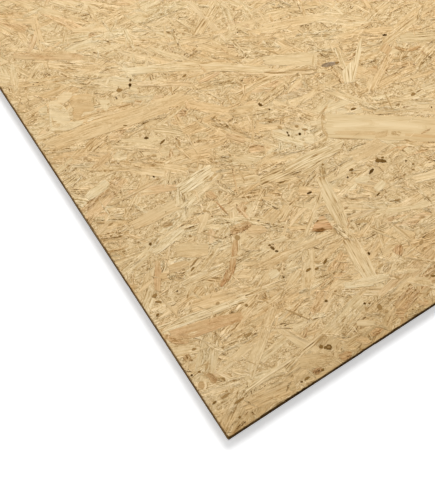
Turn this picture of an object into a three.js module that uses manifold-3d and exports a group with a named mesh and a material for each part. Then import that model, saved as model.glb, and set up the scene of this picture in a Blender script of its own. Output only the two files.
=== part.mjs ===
// An OSB sheet (oriented strand board): long wood strands pressed with resin into one flat board and
// sawn square on all four edges.
//
// Units are millimetres, +Z is up. The origin is the centre of the underside, and +X runs along the
// sheet's length, which is also the way the strands of both faces run.
//
// The board is one solid. Its faces are dense, but the strands of its core lie crosswise and don't pack
// tight, so the saw leaves open gaps in the middle of each edge: flat, pointed pockets, a few millimetres
// deep, that follow the layers of the board.

import * as THREE from "three";
import { mergeVertices } from "three/addons/utils/BufferGeometryUtils.js";
import Module from "manifold-3d";

// The sheet.
const LENGTH = 2440;
const WIDTH = 1220;
const THICKNESS = 18;
const ARRIS = 0.5; // the bevel that handling leaves where two sawn or pressed faces meet
const CORNER_BEVEL = 1.2; // the same at the four upright corners, which are knocked first

// The open gaps along the sawn edges.
const FACE_LAYER = 4.2; // dense strands under each face, with no open gap
const GAP_SPACING = 78; // from one gap to the next, on average
const END_MARGIN = 34; // from a corner of the sheet to the nearest gap's middle
const GAP_LENGTH = 15;
const GAP_HEIGHT = 1.7;
const GAP_DEPTH = 4.5;
const GAP_SPREAD = 0.45; // how far one gap's size may be from the sizes above, as a share of them
const GAP_DRIFT = 0.35; // how far a gap may be from its even place, as a share of the spacing
const GAP_TILT = 0.05; // how far a gap may lean from the layers, in radians
const GAP_SEED = 20;

const BOARD_COLOUR = 0xd4b687;
const GAP_STATIONS = 6; // rings along a gap's outline
const GAP_SIDES = 8;

// A repeatable run of numbers from 0 to 1.
function* numbersFrom(seed) {
  let state = seed;
  while (true) {
    state = (state * 16807) % 2147483647;
    yield state / 2147483647;
  }
}

const numbers = numbersFrom(GAP_SEED * 7919);
const between = (low, high) => low + (high - low) * numbers.next().value;
const around = (middle, share) => middle * between(1 - share, 1 + share);

// The sheet's outline, seen from above, with its upright corners bevelled.
function sheetOutline() {
  const x = LENGTH / 2;
  const y = WIDTH / 2;
  const c = CORNER_BEVEL;
  return new THREE.Shape([
    new THREE.Vector2(c - x, -y),
    new THREE.Vector2(x - c, -y),
    new THREE.Vector2(x, c - y),
    new THREE.Vector2(x, y - c),
    new THREE.Vector2(x - c, y),
    new THREE.Vector2(c - x, y),
    new THREE.Vector2(-x, y - c),
    new THREE.Vector2(-x, c - y),
  ]);
}

// The whole sheet before its gaps, with the arris worked round both faces.
function sheetBlank() {
  return new THREE.ExtrudeGeometry(sheetOutline(), {
    depth: THICKNESS - 2 * ARRIS,
    bevelEnabled: true,
    bevelThickness: ARRIS,
    bevelSize: ARRIS,
    bevelOffset: -ARRIS,
    bevelSegments: 1,
    curveSegments: 1,
  }).translate(0, 0, ARRIS);
}

// One gap: a pointed lens with its length along X, its depth along Y and its height along Z.
function gapLens(length, depth, height) {
  const profile = [];
  for (let i = 0; i <= GAP_STATIONS; i++) {
    const along = i / GAP_STATIONS;
    const swell = i === 0 || i === GAP_STATIONS ? 0 : Math.sin(Math.PI * along);
    profile.push(new THREE.Vector2(swell, along - 0.5));
  }
  return new THREE.LatheGeometry(profile, GAP_SIDES)
    .rotateZ(-Math.PI / 2)
    .scale(length, depth, height / 2);
}

// The four sawn edges: the middle of each, the way it runs and its length.
const EDGES = [
  { x: 0, y: -WIDTH / 2, turn: 0, run: LENGTH },
  { x: LENGTH / 2, y: 0, turn: Math.PI / 2, run: WIDTH },
  { x: 0, y: WIDTH / 2, turn: Math.PI, run: LENGTH },
  { x: -LENGTH / 2, y: 0, turn: -Math.PI / 2, run: WIDTH },
];

// The gaps of one edge, each at its own place in the core layer.
function edgeGaps(edge) {
  const run = edge.run - 2 * END_MARGIN;
  const count = Math.floor(run / GAP_SPACING) + 1;
  const step = run / (count - 1);
  const gaps = [];
  for (let i = 0; i < count; i++) {
    const height = around(GAP_HEIGHT, GAP_SPREAD);
    const room = THICKNESS / 2 - FACE_LAYER - height / 2;
    const inner = i > 0 && i < count - 1;
    const drift = inner ? between(-GAP_DRIFT, GAP_DRIFT) * step : 0;
    gaps.push(
      gapLens(around(GAP_LENGTH, GAP_SPREAD), around(GAP_DEPTH, GAP_SPREAD), height)
        .rotateY(between(-GAP_TILT, GAP_TILT))
        .translate(i * step - run / 2 + drift, 0, THICKNESS / 2 + between(-room, room))
        .rotateZ(edge.turn)
        .translate(edge.x, edge.y, 0),
    );
  }
  return gaps;
}

const wasm = await Module();
wasm.setup();

function toSolid(geometry) {
  const bare = geometry.clone();
  bare.deleteAttribute("normal");
  bare.deleteAttribute("uv");
  const merged = mergeVertices(bare, 1e-4);
  return new wasm.Manifold(
    new wasm.Mesh({
      numProp: 3,
      vertProperties: new Float32Array(merged.getAttribute("position").array),
      triVerts: new Uint32Array(merged.getIndex().array),
    }),
  );
}

function toGeometry(solid) {
  const { vertProperties, triVerts } = solid.getMesh();
  const geometry = new THREE.BufferGeometry();
  geometry.setAttribute("position", new THREE.BufferAttribute(vertProperties, 3));
  geometry.setIndex(new THREE.BufferAttribute(triVerts, 1));
  geometry.computeVertexNormals();
  return geometry;
}

// The sheet with every gap cut into its edges.
function osbSheet() {
  const gaps = EDGES.flatMap(edgeGaps).map(toSolid);
  const solid = gaps.reduce((board, gap) => board.subtract(gap), toSolid(sheetBlank()));
  const mesh = new THREE.Mesh(
    toGeometry(solid),
    new THREE.MeshStandardMaterial({ color: BOARD_COLOUR, roughness: 0.8, metalness: 0 }),
  );
  mesh.name = "osb_sheet";
  return mesh;
}

const part = new THREE.Group();
part.add(osbSheet());

export default part;
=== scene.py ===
"""The looks of an OSB sheet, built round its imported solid.

The sheet is one pressed board. Its solid is replaced by a copy that is sunk by the depth of the relief, and
wood strands lie on that copy: long strands, chips and slivers on both faces, and cut strand ends along the
four sawn edges. Everything is in metres, in the sheet's own frame: +X runs along its length, +Z is up, and
the origin is the centre of its underside.
"""

import logging
import math
from dataclasses import dataclass, field
from enum import Enum
from functools import cache
from typing import TypeAlias

import bpy
import numpy as np
from mathutils import Matrix, Vector
from mathutils.bvhtree import BVHTree

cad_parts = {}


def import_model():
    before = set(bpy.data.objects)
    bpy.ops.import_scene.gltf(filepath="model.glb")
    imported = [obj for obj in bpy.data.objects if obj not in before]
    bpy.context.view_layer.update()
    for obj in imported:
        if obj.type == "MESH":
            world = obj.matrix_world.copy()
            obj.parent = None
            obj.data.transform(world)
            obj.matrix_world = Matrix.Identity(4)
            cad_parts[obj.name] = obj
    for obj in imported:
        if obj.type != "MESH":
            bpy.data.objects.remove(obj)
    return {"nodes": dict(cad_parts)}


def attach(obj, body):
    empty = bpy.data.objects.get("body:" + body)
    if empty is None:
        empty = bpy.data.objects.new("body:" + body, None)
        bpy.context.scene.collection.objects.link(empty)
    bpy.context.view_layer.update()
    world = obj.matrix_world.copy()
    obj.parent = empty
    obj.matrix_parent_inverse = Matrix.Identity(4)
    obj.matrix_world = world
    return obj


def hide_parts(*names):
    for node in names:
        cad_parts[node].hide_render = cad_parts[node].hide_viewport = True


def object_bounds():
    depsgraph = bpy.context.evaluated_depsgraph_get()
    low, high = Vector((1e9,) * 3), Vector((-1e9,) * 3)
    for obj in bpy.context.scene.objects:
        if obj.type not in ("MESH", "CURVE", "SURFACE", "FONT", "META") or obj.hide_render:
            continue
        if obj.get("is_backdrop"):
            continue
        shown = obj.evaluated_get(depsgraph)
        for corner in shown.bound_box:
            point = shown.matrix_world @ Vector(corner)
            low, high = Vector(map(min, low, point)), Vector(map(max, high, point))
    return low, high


log = logging.getLogger("osb_sheet")

NODE = "osb_sheet"
BODY = "root"
MM = 0.001

Material: TypeAlias = bpy.types.Material
Node: TypeAlias = bpy.types.Node
Tree: TypeAlias = bpy.types.NodeTree
Socket: TypeAlias = bpy.types.NodeSocket
Wire: TypeAlias = Socket | float | tuple[float, ...]  # an output that feeds a socket, or a plain value
Object: TypeAlias = bpy.types.Object
Array: TypeAlias = np.ndarray
Pair: TypeAlias = tuple[float, float]
Triple: TypeAlias = tuple[float, float, float]


# --- The sheet and its sides ---


class Side(Enum):
    """A flat side of the sheet, by the way that it faces."""

    TOP = (0, 0, 1)
    UNDERSIDE = (0, 0, -1)
    FRONT = (0, -1, 0)
    RIGHT = (1, 0, 0)
    BACK = (0, 1, 0)
    LEFT = (-1, 0, 0)


@dataclass(frozen=True)
class Plane:
    """The plane of one side of the sheet, with axes of its own."""

    origin: Array  # the middle of the side
    along: Array
    across: Array
    size: Array  # the side's length and height

    @property
    def half(self) -> Array:
        """Half the length and half the height."""
        return self.size / 2

    @property
    def outward(self) -> Array:
        """The way that the side faces."""
        return np.cross(self.along, self.across)

    def placed(self, points: Array) -> Array:
        """Returns points on the plane, and above it, as points in the sheet's frame."""
        return self.origin + points @ np.stack([self.along, self.across, self.outward])


@dataclass(frozen=True)
class SheetSize:
    """The sheet's own size, read from its solid."""

    length: float
    width: float
    thickness: float

    @property
    def half(self) -> Array:
        """Half the length and half the width."""
        return np.array([self.length / 2, self.width / 2])

    def plane(self, side: Side) -> Plane:
        """Returns the plane of a side. Faces run along +X, and edges run anticlockwise, seen from above."""
        facing = np.array(side.value, dtype=float)
        middle = np.array([0.0, 0.0, self.thickness / 2])
        origin = middle + facing * np.array([*self.half, self.thickness / 2])
        if side in (Side.TOP, Side.UNDERSIDE):
            return Plane(origin, np.array([1.0, 0, 0]), np.array([0, facing[2], 0]), self.half * 2)
        along = np.cross((0, 0, 1), facing)
        run = float(np.abs(along[:2]) @ self.half) * 2
        return Plane(origin, along, np.array([0, 0, 1.0]), np.array([run, self.thickness]))


# --- Shader graphs ---


class Graph:
    """A node tree that is being wired."""

    def __init__(self, tree: Tree) -> None:
        """Starts on an empty tree.

        Args:
            tree: the material's or the group's tree, whose nodes are removed.
        """
        self.tree = tree
        tree.nodes.clear()

    def add(self, kind: str, wires: dict[int | str, Wire] | None = None, **settings: object) -> Node:
        """Adds a node.

        Args:
            kind: the node's type name, without its ShaderNode.
            wires: input name or number to a plain value, or to the output socket that feeds it.
            settings: the node's own properties.

        Returns:
            The new node.
        """
        node = self.tree.nodes.new(f"ShaderNode{kind}")
        for name, value in settings.items():
            setattr(node, name, value)
        for name, value in (wires or {}).items():
            self.feed(node.inputs[name], value)
        return node

    def feed(self, socket: Socket, value: Wire) -> None:
        """Links a socket to an output, or sets its plain value."""
        if isinstance(value, Socket):
            self.tree.links.new(value, socket)
        else:
            socket.default_value = value

    def place(self, effect: "Effect", **values: Wire) -> Node:
        """Places the group of a shared effect, and returns its node. The values are what it is given."""
        return self.add("Group", values, node_tree=effect.tree())

    def attribute(self, name: str) -> Socket:
        """Returns the number that a mesh attribute of this name holds."""
        return self.add("Attribute", attribute_name=name).outputs["Fac"]

    def math(self, operation: str, *values: Wire, clamp: bool = False) -> Socket:
        """Returns the result of one sum on up to three numbers."""
        wires = dict(enumerate(values))
        return self.add("Math", wires, operation=operation, use_clamp=clamp).outputs[0]

    def vector(self, operation: str, *values: Wire) -> Socket:
        """Returns the vector that one sum on two vectors gives."""
        return self.add("VectorMath", dict(enumerate(values)), operation=operation).outputs[0]

    def product(self, first: Wire, *others: Wire) -> Socket:
        """Returns the product of numbers."""
        for other in others:
            first = self.math("MULTIPLY", first, other)
        return first

    def plus(self, first: Wire, second: Wire, gain: Wire) -> Socket:
        """Returns the first number with the second one, times a gain, added to it."""
        return self.math("MULTIPLY_ADD", second, gain, first)

    def swing(self, value: Wire, gain: Wire) -> Socket:
        """Returns a value from 0 to 1 as a swing to both sides of nothing, of this strength."""
        return self.math("MULTIPLY", self.math("SUBTRACT", value, 0.5), gain)

    def span(self, value: Wire, low: float, high: float, first: float = 0.0, last: float = 1.0) -> Socket:
        """Returns a value stretched from low..high to first..last, held at both ends."""
        return self.add("MapRange", {0: value, 1: low, 2: high, 3: first, 4: last}).outputs[0]

    def blend(self, share: Wire, first: Wire, second: Wire, way: str = "MIX") -> Socket:
        """Returns two colours mixed by a share from 0 to 1."""
        wires = {0: share, 6: first, 7: second}
        return self.add("Mix", wires, data_type="RGBA", blend_type=way).outputs[2]

    def ramp(self, value: Wire, stops: tuple[tuple[float, Triple], ...]) -> Socket:
        """Returns the colour that a value from 0 to 1 has on a ramp.

        Args:
            value: the number.
            stops: the place and the linear colour of each stop, in order.
        """
        node = self.add("ValToRGB", {0: value})
        elements = node.color_ramp.elements
        while len(elements) < len(stops):
            elements.new(0.5)
        for element, (place, colour) in zip(elements, stops, strict=True):
            element.position = place
            element.color = (*colour, 1.0)
        return node.outputs[0]

    def noise(
        self,
        vector: Wire,
        scale: float = 1.0,
        detail: float = 2.0,
        roughness: float = 0.5,
        dimensions: str = "3D",
    ) -> Node:
        """Returns a noise node. Its first output is a value from 0 to 1."""
        wires = {"Vector": vector, "Scale": scale, "Detail": detail, "Roughness": roughness}
        return self.add("TexNoise", wires, noise_dimensions=dimensions)

    def streaks(self, vector: Wire, size: Pair, detail: float = 1.0) -> Socket:
        """Returns noise from 0 to 1 that is drawn out: its size is in metres in X and in Y."""
        along, across = size
        wires = {"Vector": vector, "Scale": (1 / along, 1 / across, 1 / across)}
        return self.noise(self.add("Mapping", wires).outputs[0], detail=detail).outputs[0]

    def cells(self, vector: Wire, scale: Wire = 1.0, feature: str = "F1") -> Node:
        """Returns a node that splits the plane into cells."""
        wires = {"Vector": vector, "Scale": scale}
        return self.add("TexVoronoi", wires, voronoi_dimensions="2D", feature=feature)

    def counted(self, vector: Wire, length: Wire, width: Wire) -> Socket:
        """Returns a place counted in lengths along X and in widths along Y."""
        wires = {0: self.math("DIVIDE", 1.0, length), 1: self.math("DIVIDE", 1.0, width)}
        return self.vector("MULTIPLY", vector, self.add("CombineXYZ", wires).outputs[0])


class Effect:
    """An effect that several finishes share: a node group that is given a place, and numbers.

    NUMBERS names what it is given, and RESULTS what it puts out.
    """

    NAME: str
    NUMBERS: tuple[str, ...]
    RESULTS: tuple[str, ...]

    @cache
    def tree(self) -> Tree:
        """Returns the group, which is built once."""
        tree = bpy.data.node_groups.new(self.NAME, "ShaderNodeTree")
        tree.interface.new_socket("Vector", in_out="INPUT", socket_type="NodeSocketVector")
        for way, labels in (("INPUT", self.NUMBERS), ("OUTPUT", self.RESULTS)):
            for label in labels:
                tree.interface.new_socket(label, in_out=way, socket_type="NodeSocketFloat")
        graph = Graph(tree)
        entry, out = tree.nodes.new("NodeGroupInput"), tree.nodes.new("NodeGroupOutput")
        given = {label: entry.outputs[label] for label in ("Vector", *self.NUMBERS)}
        for label, value in zip(self.RESULTS, self.wire(graph, given), strict=True):
            graph.feed(out.inputs[label], value)
        return tree

    def wire(self, graph: Graph, given: dict[str, Socket]) -> tuple[Socket, ...]:
        """Wires the group.

        Args:
            graph: its graph.
            given: what it is given, by name.

        Returns:
            What it puts out.
        """
        raise NotImplementedError


@dataclass(frozen=True)
class Wrinkles:
    """One size of wrinkle in crushed fibre."""

    length: float  # in metres
    width: float
    crease: float  # how wide the dark creases between them are, as a share of their tone
    tone: float  # how strongly they show
    depth: float  # how deep they are, as a share of the finish's relief


@dataclass(frozen=True)
class Grain(Effect):
    """Straight wood grain, with its fibres along X: fine lines, broad bands, dark splits and pale fibres.

    Sizes are in metres, along and across the fibres.
    """

    NAME, NUMBERS, RESULTS = "wood_grain", ("Bands",), ("Tone", "Height", "Splits")

    wander: Pair = (0.060, 0.020)
    wander_depth: float = 0.006
    fibres: Pair = (0.045, 0.0015)
    fibre_gain: float = 1.3
    lines: Pair = (0.080, 0.0030)
    line_gain: float = 0.65
    bands: Pair = (0.200, 0.011)
    splits: Pair = (0.018, 0.0014)
    dark_range: Pair = (0.60, 0.74)
    pale_range: Pair = (0.40, 0.28)
    pale_share: float = 0.7  # how much weaker than a dark split a pale fibre is

    def wire(self, graph: Graph, given: dict[str, Socket]) -> tuple[Socket, ...]:
        """Wires the lines and the splits. Bands says how strong the broad bands are.

        Args:
            graph: the group's graph.
            given: what it is given, by name.

        Returns:
            The tone, the height and the splits.
        """
        bend = graph.swing(graph.streaks(given["Vector"], self.wander), self.wander_depth)
        shift = graph.add("CombineXYZ", {1: bend}).outputs[0]
        place = graph.vector("ADD", given["Vector"], shift)
        fine = graph.swing(graph.streaks(place, self.fibres), self.fibre_gain)
        middle = graph.swing(graph.streaks(place, self.lines), self.line_gain)
        broad = graph.swing(graph.streaks(place, self.bands, 0.0), given["Bands"])
        both = graph.math("ADD", fine, middle)
        split = graph.streaks(place, self.splits, 0.0)
        dark = graph.span(split, *self.dark_range)
        pale = graph.span(split, *self.pale_range)
        return graph.math("ADD", both, broad), both, graph.plus(dark, pale, -self.pale_share)


@dataclass(frozen=True)
class Slivers(Effect):
    """Broken slivers pressed flat: patches that each turn their own way, full of long narrow cells."""

    NAME = "pressed_slivers"
    NUMBERS, RESULTS = ("Patch", "Length", "Width", "Turn"), ("Tone", "Height")

    jump: Triple = (37.0, 53.0, 0.0)  # how far apart two patches read the pattern
    rim: float = 0.16  # how far a sliver is rounded off, as a share of its width
    level_gain: float = 0.6
    rim_gain: float = 0.4

    def wire(self, graph: Graph, given: dict[str, Socket]) -> tuple[Socket, ...]:
        """Wires the patches, by their size and turn, and the slivers in them, by their length and width.

        Args:
            graph: the group's graph.
            given: what it is given, by name.

        Returns:
            The tone and the height.
        """
        patch = graph.cells(given["Vector"], graph.math("DIVIDE", 1.0, given["Patch"])).outputs["Color"]
        split = graph.add("SeparateColor", {0: patch})
        wires = {"Vector": given["Vector"], "Angle": graph.swing(split.outputs[0], given["Turn"])}
        turned = graph.add("VectorRotate", wires, rotation_type="Z_AXIS").outputs[0]
        counted = graph.counted(turned, given["Length"], given["Width"])
        place = graph.vector("ADD", counted, graph.vector("MULTIPLY", patch, self.jump))
        shade = graph.add("SeparateColor", {0: graph.cells(place).outputs["Color"]})
        edge = graph.cells(place, feature="DISTANCE_TO_EDGE").outputs["Distance"]
        near = graph.product(graph.span(edge, 0.0, self.rim), self.rim_gain)
        return shade.outputs[0], graph.plus(near, shade.outputs[1], self.level_gain)


@dataclass(frozen=True)
class CrushedFibre(Effect):
    """Wood fibre that the press has crushed: soft curls and wrinkles, with dark creases between some. Its
    tone follows its height, so a finish that colours by it paints shade into the hollows and creases.
    """

    NAME = "crushed_fibre"
    NUMBERS, RESULTS = ("Length", "Width", "Line"), ("Tone", "Height", "Crease")

    swirl_scale: float = 0.7
    swirl_push: Triple = (2.2, 2.2, 0.0)
    fold_roughness: float = 0.55
    valley: float = 0.47  # the tone at which a crease lies
    patch_scale: float = 0.37
    patch_range: Pair = (0.42, 0.60)
    crease_depth: float = 0.12

    def wire(self, graph: Graph, given: dict[str, Socket]) -> tuple[Socket, ...]:
        """Wires the wrinkles, by their length and width and by how wide their creases are.

        Args:
            graph: the group's graph.
            given: what it is given, by name.

        Returns:
            The tone, the height and the creases.
        """
        counted = graph.counted(given["Vector"], given["Length"], given["Width"])
        swirl = graph.noise(counted, self.swirl_scale, 1.0, dimensions="2D").outputs["Color"]
        push = graph.vector("MULTIPLY", graph.vector("ADD", swirl, (-0.5, -0.5, 0.0)), self.swirl_push)
        place = graph.vector("ADD", counted, push)
        fold = graph.noise(place, 1.0, 2.0, self.fold_roughness, "2D").outputs[0]
        valley = graph.math("ABSOLUTE", graph.math("SUBTRACT", fold, self.valley))
        crease = graph.math("SUBTRACT", 1.0, graph.math("DIVIDE", valley, given["Line"]), clamp=True)
        patch = graph.noise(place, self.patch_scale, 1.0, dimensions="2D").outputs[0]
        crease = graph.product(crease, graph.span(patch, *self.patch_range))
        return graph.math("SUBTRACT", fold, 0.5), graph.plus(fold, crease, -self.crease_depth), crease


def crumpled(graph: Graph, place: Wire, sizes: tuple[Wrinkles, ...]) -> tuple[Wire, Wire, Wire]:
    """Piles up several sizes of wrinkle.

    Args:
        graph: the material's graph.
        place: where on the surface the pattern is read.
        sizes: the sizes.

    Returns:
        The tone of the wrinkles, their creases and their height.
    """
    folds, creases, relief = 0.0, 0.0, 0.0
    for size in sizes:
        values = {"Length": size.length, "Width": size.width, "Line": size.crease}
        layer = graph.place(CrushedFibre(), Vector=place, **values)
        folds = graph.plus(folds, layer.outputs["Tone"], size.tone)
        creases = graph.math("MAXIMUM", layer.outputs["Crease"], creases)
        relief = graph.plus(relief, layer.outputs["Height"], size.depth)
    return folds, creases, relief


# --- Finishes ---

# Linear colours of pressed softwood, from a dark gap through heartwood to the palest sapwood.
WOOD_RAMP = (
    (0.00, (0.062, 0.027, 0.004)),
    (0.18, (0.250, 0.136, 0.037)),
    (0.36, (0.490, 0.318, 0.139)),
    (0.55, (0.665, 0.487, 0.260)),
    (0.76, (0.790, 0.607, 0.360)),
    (1.00, (0.900, 0.712, 0.440)),
)
# What heartwood and damp stain let through of the colour under them, and what the painted shade towards the
# near long edge lets through.
HEARTWOOD = (0.88, 0.68, 0.58, 1.0)
STAIN = (0.56, 0.60, 0.78, 1.0)
PAINTED_FALLOFF = (0.78, 0.72, 0.62, 1.0)
# The casts that sound wood strays between, from rosy to straw.
WARM_CAST = (1.03, 0.97, 0.91, 1.0)
COOL_CAST = (0.98, 1.02, 1.05, 1.0)

WOOD_IOR = 1.45
WOOD_GLOSS = 0.03

GRAIN_MAP = "grain"  # metres along and across each flake's own grain
BAKE_MAP = "OFBake"  # each flake in a cell of its own


@dataclass(frozen=True, kw_only=True)
class Finish:
    """What every finish of the sheet is: dull bare wood with a relief of its own.

    Attributes:
        name: the material's name.
        roughness: how rough it is, before its pattern.
        rough_gain: how much its pattern adds to that.
        bump: the depth of its relief, in metres.
    """

    name: str
    roughness: float
    rough_gain: float = 0.1
    bump: float

    def build(self) -> Material:
        """Makes the material."""
        material = bpy.data.materials.new(self.name)
        material.use_nodes = True
        graph = Graph(material.node_tree)
        shader = graph.add("BsdfPrincipled", {"IOR": WOOD_IOR, "Specular IOR Level": WOOD_GLOSS})
        graph.add("OutputMaterial", {"Surface": shader.outputs[0]})
        colour, roughening, height = self.pattern(graph)
        relief = graph.add("Bump", {"Height": height, "Distance": self.bump, "Strength": 1.0})
        graph.feed(shader.inputs["Base Color"], colour)
        rough = graph.plus(self.roughness, roughening, self.rough_gain)
        graph.feed(shader.inputs["Roughness"], rough)
        graph.feed(shader.inputs["Normal"], relief.outputs[0])
        return material

    def pattern(self, graph: Graph) -> tuple[Socket, Socket, Socket]:
        """Wires the finish's own pattern.

        Args:
            graph: the material's graph.

        Returns:
            Its colour, what roughens it and its height.
        """
        raise NotImplementedError


@dataclass(frozen=True, kw_only=True)
class StrandFinish(Finish):
    """The face of loose strands, chips and slivers: grain along each one, crushed where it is broken."""

    WRINKLES = (
        Wrinkles(0.0034, 0.0015, 0.08, 1.6, 0.45),
        Wrinkles(0.0110, 0.0024, 0.050, 1.1, 0.75),
        Wrinkles(0.0150, 0.0060, 0.022, 0.5, 1.2),
    )
    # How big the crushed parts, the mottle of each strand and the regions of the whole sheet are, in metres.
    CRUSHED, MOTTLE, REGION = (0.034, 0.014), (0.026, 0.007), (0.110, 0.060)
    # From which value to which a pattern counts, and what it counts as at either end.
    CRUSHED_SPAN = (0.38, 0.62, 0.30, 1.35)
    HEART_SPAN = (0.34, 0.60, 0.25, 1.0)
    STAIN_SPAN = (0.40, 0.56, 0.3, 1.0)
    CAST_SPAN = (0.3, 0.7, -0.6, 0.6)
    CASTS = (-2.4, 2.4)  # the casts that are wholly rosy and wholly straw

    sheet: SheetSize
    name: str = "strand_face"
    roughness: float = 0.70
    rough_gain: float = 0.25
    bump: float = 0.0011
    bands: float = 0.5
    grain_gain: float = 0.39  # how much of the ramp the grain swings over
    grain_relief: float = 0.35
    # Painted shade: fold_gain and crease_shade darken the hollows and creases of the crushed parts, and
    # rim_shade darkens each flake's sloping rim, partly as painted shade and partly as darker resin.
    fold_gain: float = 0.42
    crease_shade: float = 0.29
    crease_lift: float = 0.04  # keeps the crushed parts as light as the sound ones
    rim_shade: float = 0.06
    split_shade: float = 0.19
    region_gain: float = 0.24
    region_cast: float = 6.0
    # Painted shade: the face is darker along its front and left edges, and darker towards its near long edge,
    # where less light falls.
    arris_shade_depth: float = 0.08
    arris_shade_width: float = 2.0 * MM  # how far painted shade darkens the face from its front and left edges, beside the shaded sawn edges
    painted_falloff_width: float = 95.0 * MM  # how far painted shade darkens it from its near long edge, where less light falls
    painted_falloff_power: float = 2.5  # how fast that fades

    def pattern(self, graph: Graph) -> tuple[Socket, Socket, Socket]:
        """Wires the grain, the wrinkles and the casts of each strand.

        Args:
            graph: the material's graph.

        Returns:
            The colour, what roughens it and the height.
        """
        place = graph.add("UVMap", uv_map=GRAIN_MAP).outputs[0]
        on_sheet = graph.add("TexCoord").outputs["Object"]
        figure = graph.attribute("figure")
        crushed = graph.span(graph.streaks(place, self.CRUSHED), *self.CRUSHED_SPAN)
        broken = graph.product(graph.attribute("broken"), crushed)
        wood = graph.place(Grain(), Vector=place, Bands=self.bands)
        region = graph.math("SUBTRACT", graph.streaks(on_sheet, self.REGION, 2.0), 0.5)
        # painted shade along two edges and towards the near long edge
        arris_shade, painted_falloff = self.painted_edge_shade(graph, on_sheet)
        folds, creases, relief = crumpled(graph, place, self.WRINKLES)
        level = graph.attribute("tone")
        for value, gain, share in (
            (wood.outputs["Tone"], self.grain_gain, figure),
            (folds, self.fold_gain, broken),
            (creases, -self.crease_shade, broken),
            (self.crease_lift, 1.0, broken),
            (wood.outputs["Splits"], -self.split_shade, figure),
            (graph.attribute("rim"), -self.rim_shade, 1.0),
            (arris_shade, -self.arris_shade_depth, 1.0),
            (region, self.region_gain, 1.0),
        ):
            level = graph.math("ADD", level, graph.product(value, gain, share))
        mottle = graph.streaks(place, self.MOTTLE, 2.0)
        cast = graph.math("ADD", graph.attribute("cast"), graph.span(mottle, *self.CAST_SPAN))
        cast = graph.span(graph.plus(cast, region, self.region_cast), *self.CASTS)
        tint = graph.blend(cast, WARM_CAST, COOL_CAST)
        colour = graph.blend(1.0, graph.ramp(level, WOOD_RAMP), tint, "MULTIPLY")
        marks = ("heart", self.HEART_SPAN, HEARTWOOD), ("stain", self.STAIN_SPAN, STAIN)
        for name, span, let_through in marks:
            share = graph.math("MULTIPLY", graph.attribute(name), graph.span(mottle, *span), clamp=True)
            colour = graph.blend(share, colour, let_through, "MULTIPLY")
        lines = graph.product(wood.outputs["Height"], figure, self.grain_relief)
        relief = graph.plus(lines, relief, broken)
        # painted shade towards the near long edge
        return graph.blend(painted_falloff, colour, PAINTED_FALLOFF, "MULTIPLY"), wood.outputs["Tone"], relief

    def painted_edge_shade(self, graph: Graph, on_sheet: Socket) -> tuple[Socket, Socket]:
        """Finds where painted shade darkens the face: narrowly along its front and left edges, broadly
        towards its near long edge.

        Args:
            graph: the material's graph.
            on_sheet: the place on the sheet.

        Returns:
            How much painted shade each place gets along two edges, and how much along the near long one.
        """
        split = graph.add("SeparateXYZ", {0: on_sheet})
        left, front = -self.sheet.half
        front_arris_shade = graph.span(split.outputs["Y"], front, front + self.arris_shade_width, 1.0, 0.0)
        left_arris_shade = graph.span(split.outputs["X"], left, left + self.arris_shade_width, 1.0, 0.0)
        painted_falloff = graph.span(split.outputs["Y"], front, front + self.painted_falloff_width, 1.0, 0.0)
        return graph.math("MAXIMUM", front_arris_shade, left_arris_shade), graph.math("POWER", painted_falloff, self.painted_falloff_power)


@dataclass(frozen=True, kw_only=True)
class FinesFinish(Finish):
    """The pressed surface between the strands: fine slivers that lie in every direction."""

    WRINKLES = (Wrinkles(0.0024, 0.0014, 0.09, 1.7, 0.35), Wrinkles(0.0056, 0.0030, 0.055, 1.2, 0.8))

    name: str = "pressed_fines"
    roughness: float = 0.72
    bump: float = 0.0011
    tone: float = 0.58
    # Painted shade: fold_gain and crease_shade darken the hollows and creases of the wrinkles.
    fold_gain: float = 0.40
    crease_shade: float = 0.32
    patch: float = 0.03
    sliver_length: float = 0.02
    sliver_width: float = 0.004
    sliver_turn: float = 3.0
    sliver_gain: float = 0.10
    sliver_relief: float = 0.2

    def pattern(self, graph: Graph) -> tuple[Socket, Socket, Socket]:
        """Wires the slivers and the wrinkles over them.

        Args:
            graph: the material's graph.

        Returns:
            The colour, what roughens it and the height.
        """
        place = graph.add("TexCoord").outputs["Object"]
        size = {"Patch": self.patch, "Length": self.sliver_length, "Width": self.sliver_width}
        chips = graph.place(Slivers(), Vector=place, Turn=self.sliver_turn, **size)
        folds, creases, relief = crumpled(graph, place, self.WRINKLES)
        sound = graph.math("SUBTRACT", chips.outputs["Tone"], 0.5)
        level = graph.plus(self.tone, sound, self.sliver_gain)
        level = graph.plus(level, folds, self.fold_gain)
        level = graph.plus(level, creases, -self.crease_shade)
        relief = graph.plus(relief, chips.outputs["Height"], self.sliver_relief)
        return graph.ramp(level, WOOD_RAMP), sound, relief


@dataclass(frozen=True, kw_only=True)
class SawnFinish(Finish):
    """The sawn edges: strand ends in layers, dark brown."""

    name: str = "sawn_edge"
    roughness: float = 0.78
    bump: float = 0.0003
    layers: Triple = (40.0, 40.0, 900.0)  # how many there are in a metre, each way
    layer_roughness: float = 0.6
    layer_gain: float = 0.26
    fibres: float = 900.0
    fibre_gain: float = 0.10
    fibre_relief: float = 0.4

    def pattern(self, graph: Graph) -> tuple[Socket, Socket, Socket]:
        """Wires the layers and the fibre ends in them.

        Args:
            graph: the material's graph.

        Returns:
            The colour, what roughens it and the height.
        """
        place = graph.add("TexCoord").outputs["Object"]
        layered = graph.add("Mapping", {"Vector": place, "Scale": self.layers}).outputs[0]
        lines = graph.noise(layered, roughness=self.layer_roughness).outputs[0]
        fibres = graph.noise(place, self.fibres).outputs[0]
        level = graph.plus(graph.product(lines, self.layer_gain), fibres, self.fibre_gain)
        relief = graph.plus(lines, fibres, self.fibre_relief)
        return graph.ramp(level, WOOD_RAMP), fibres, relief


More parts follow.
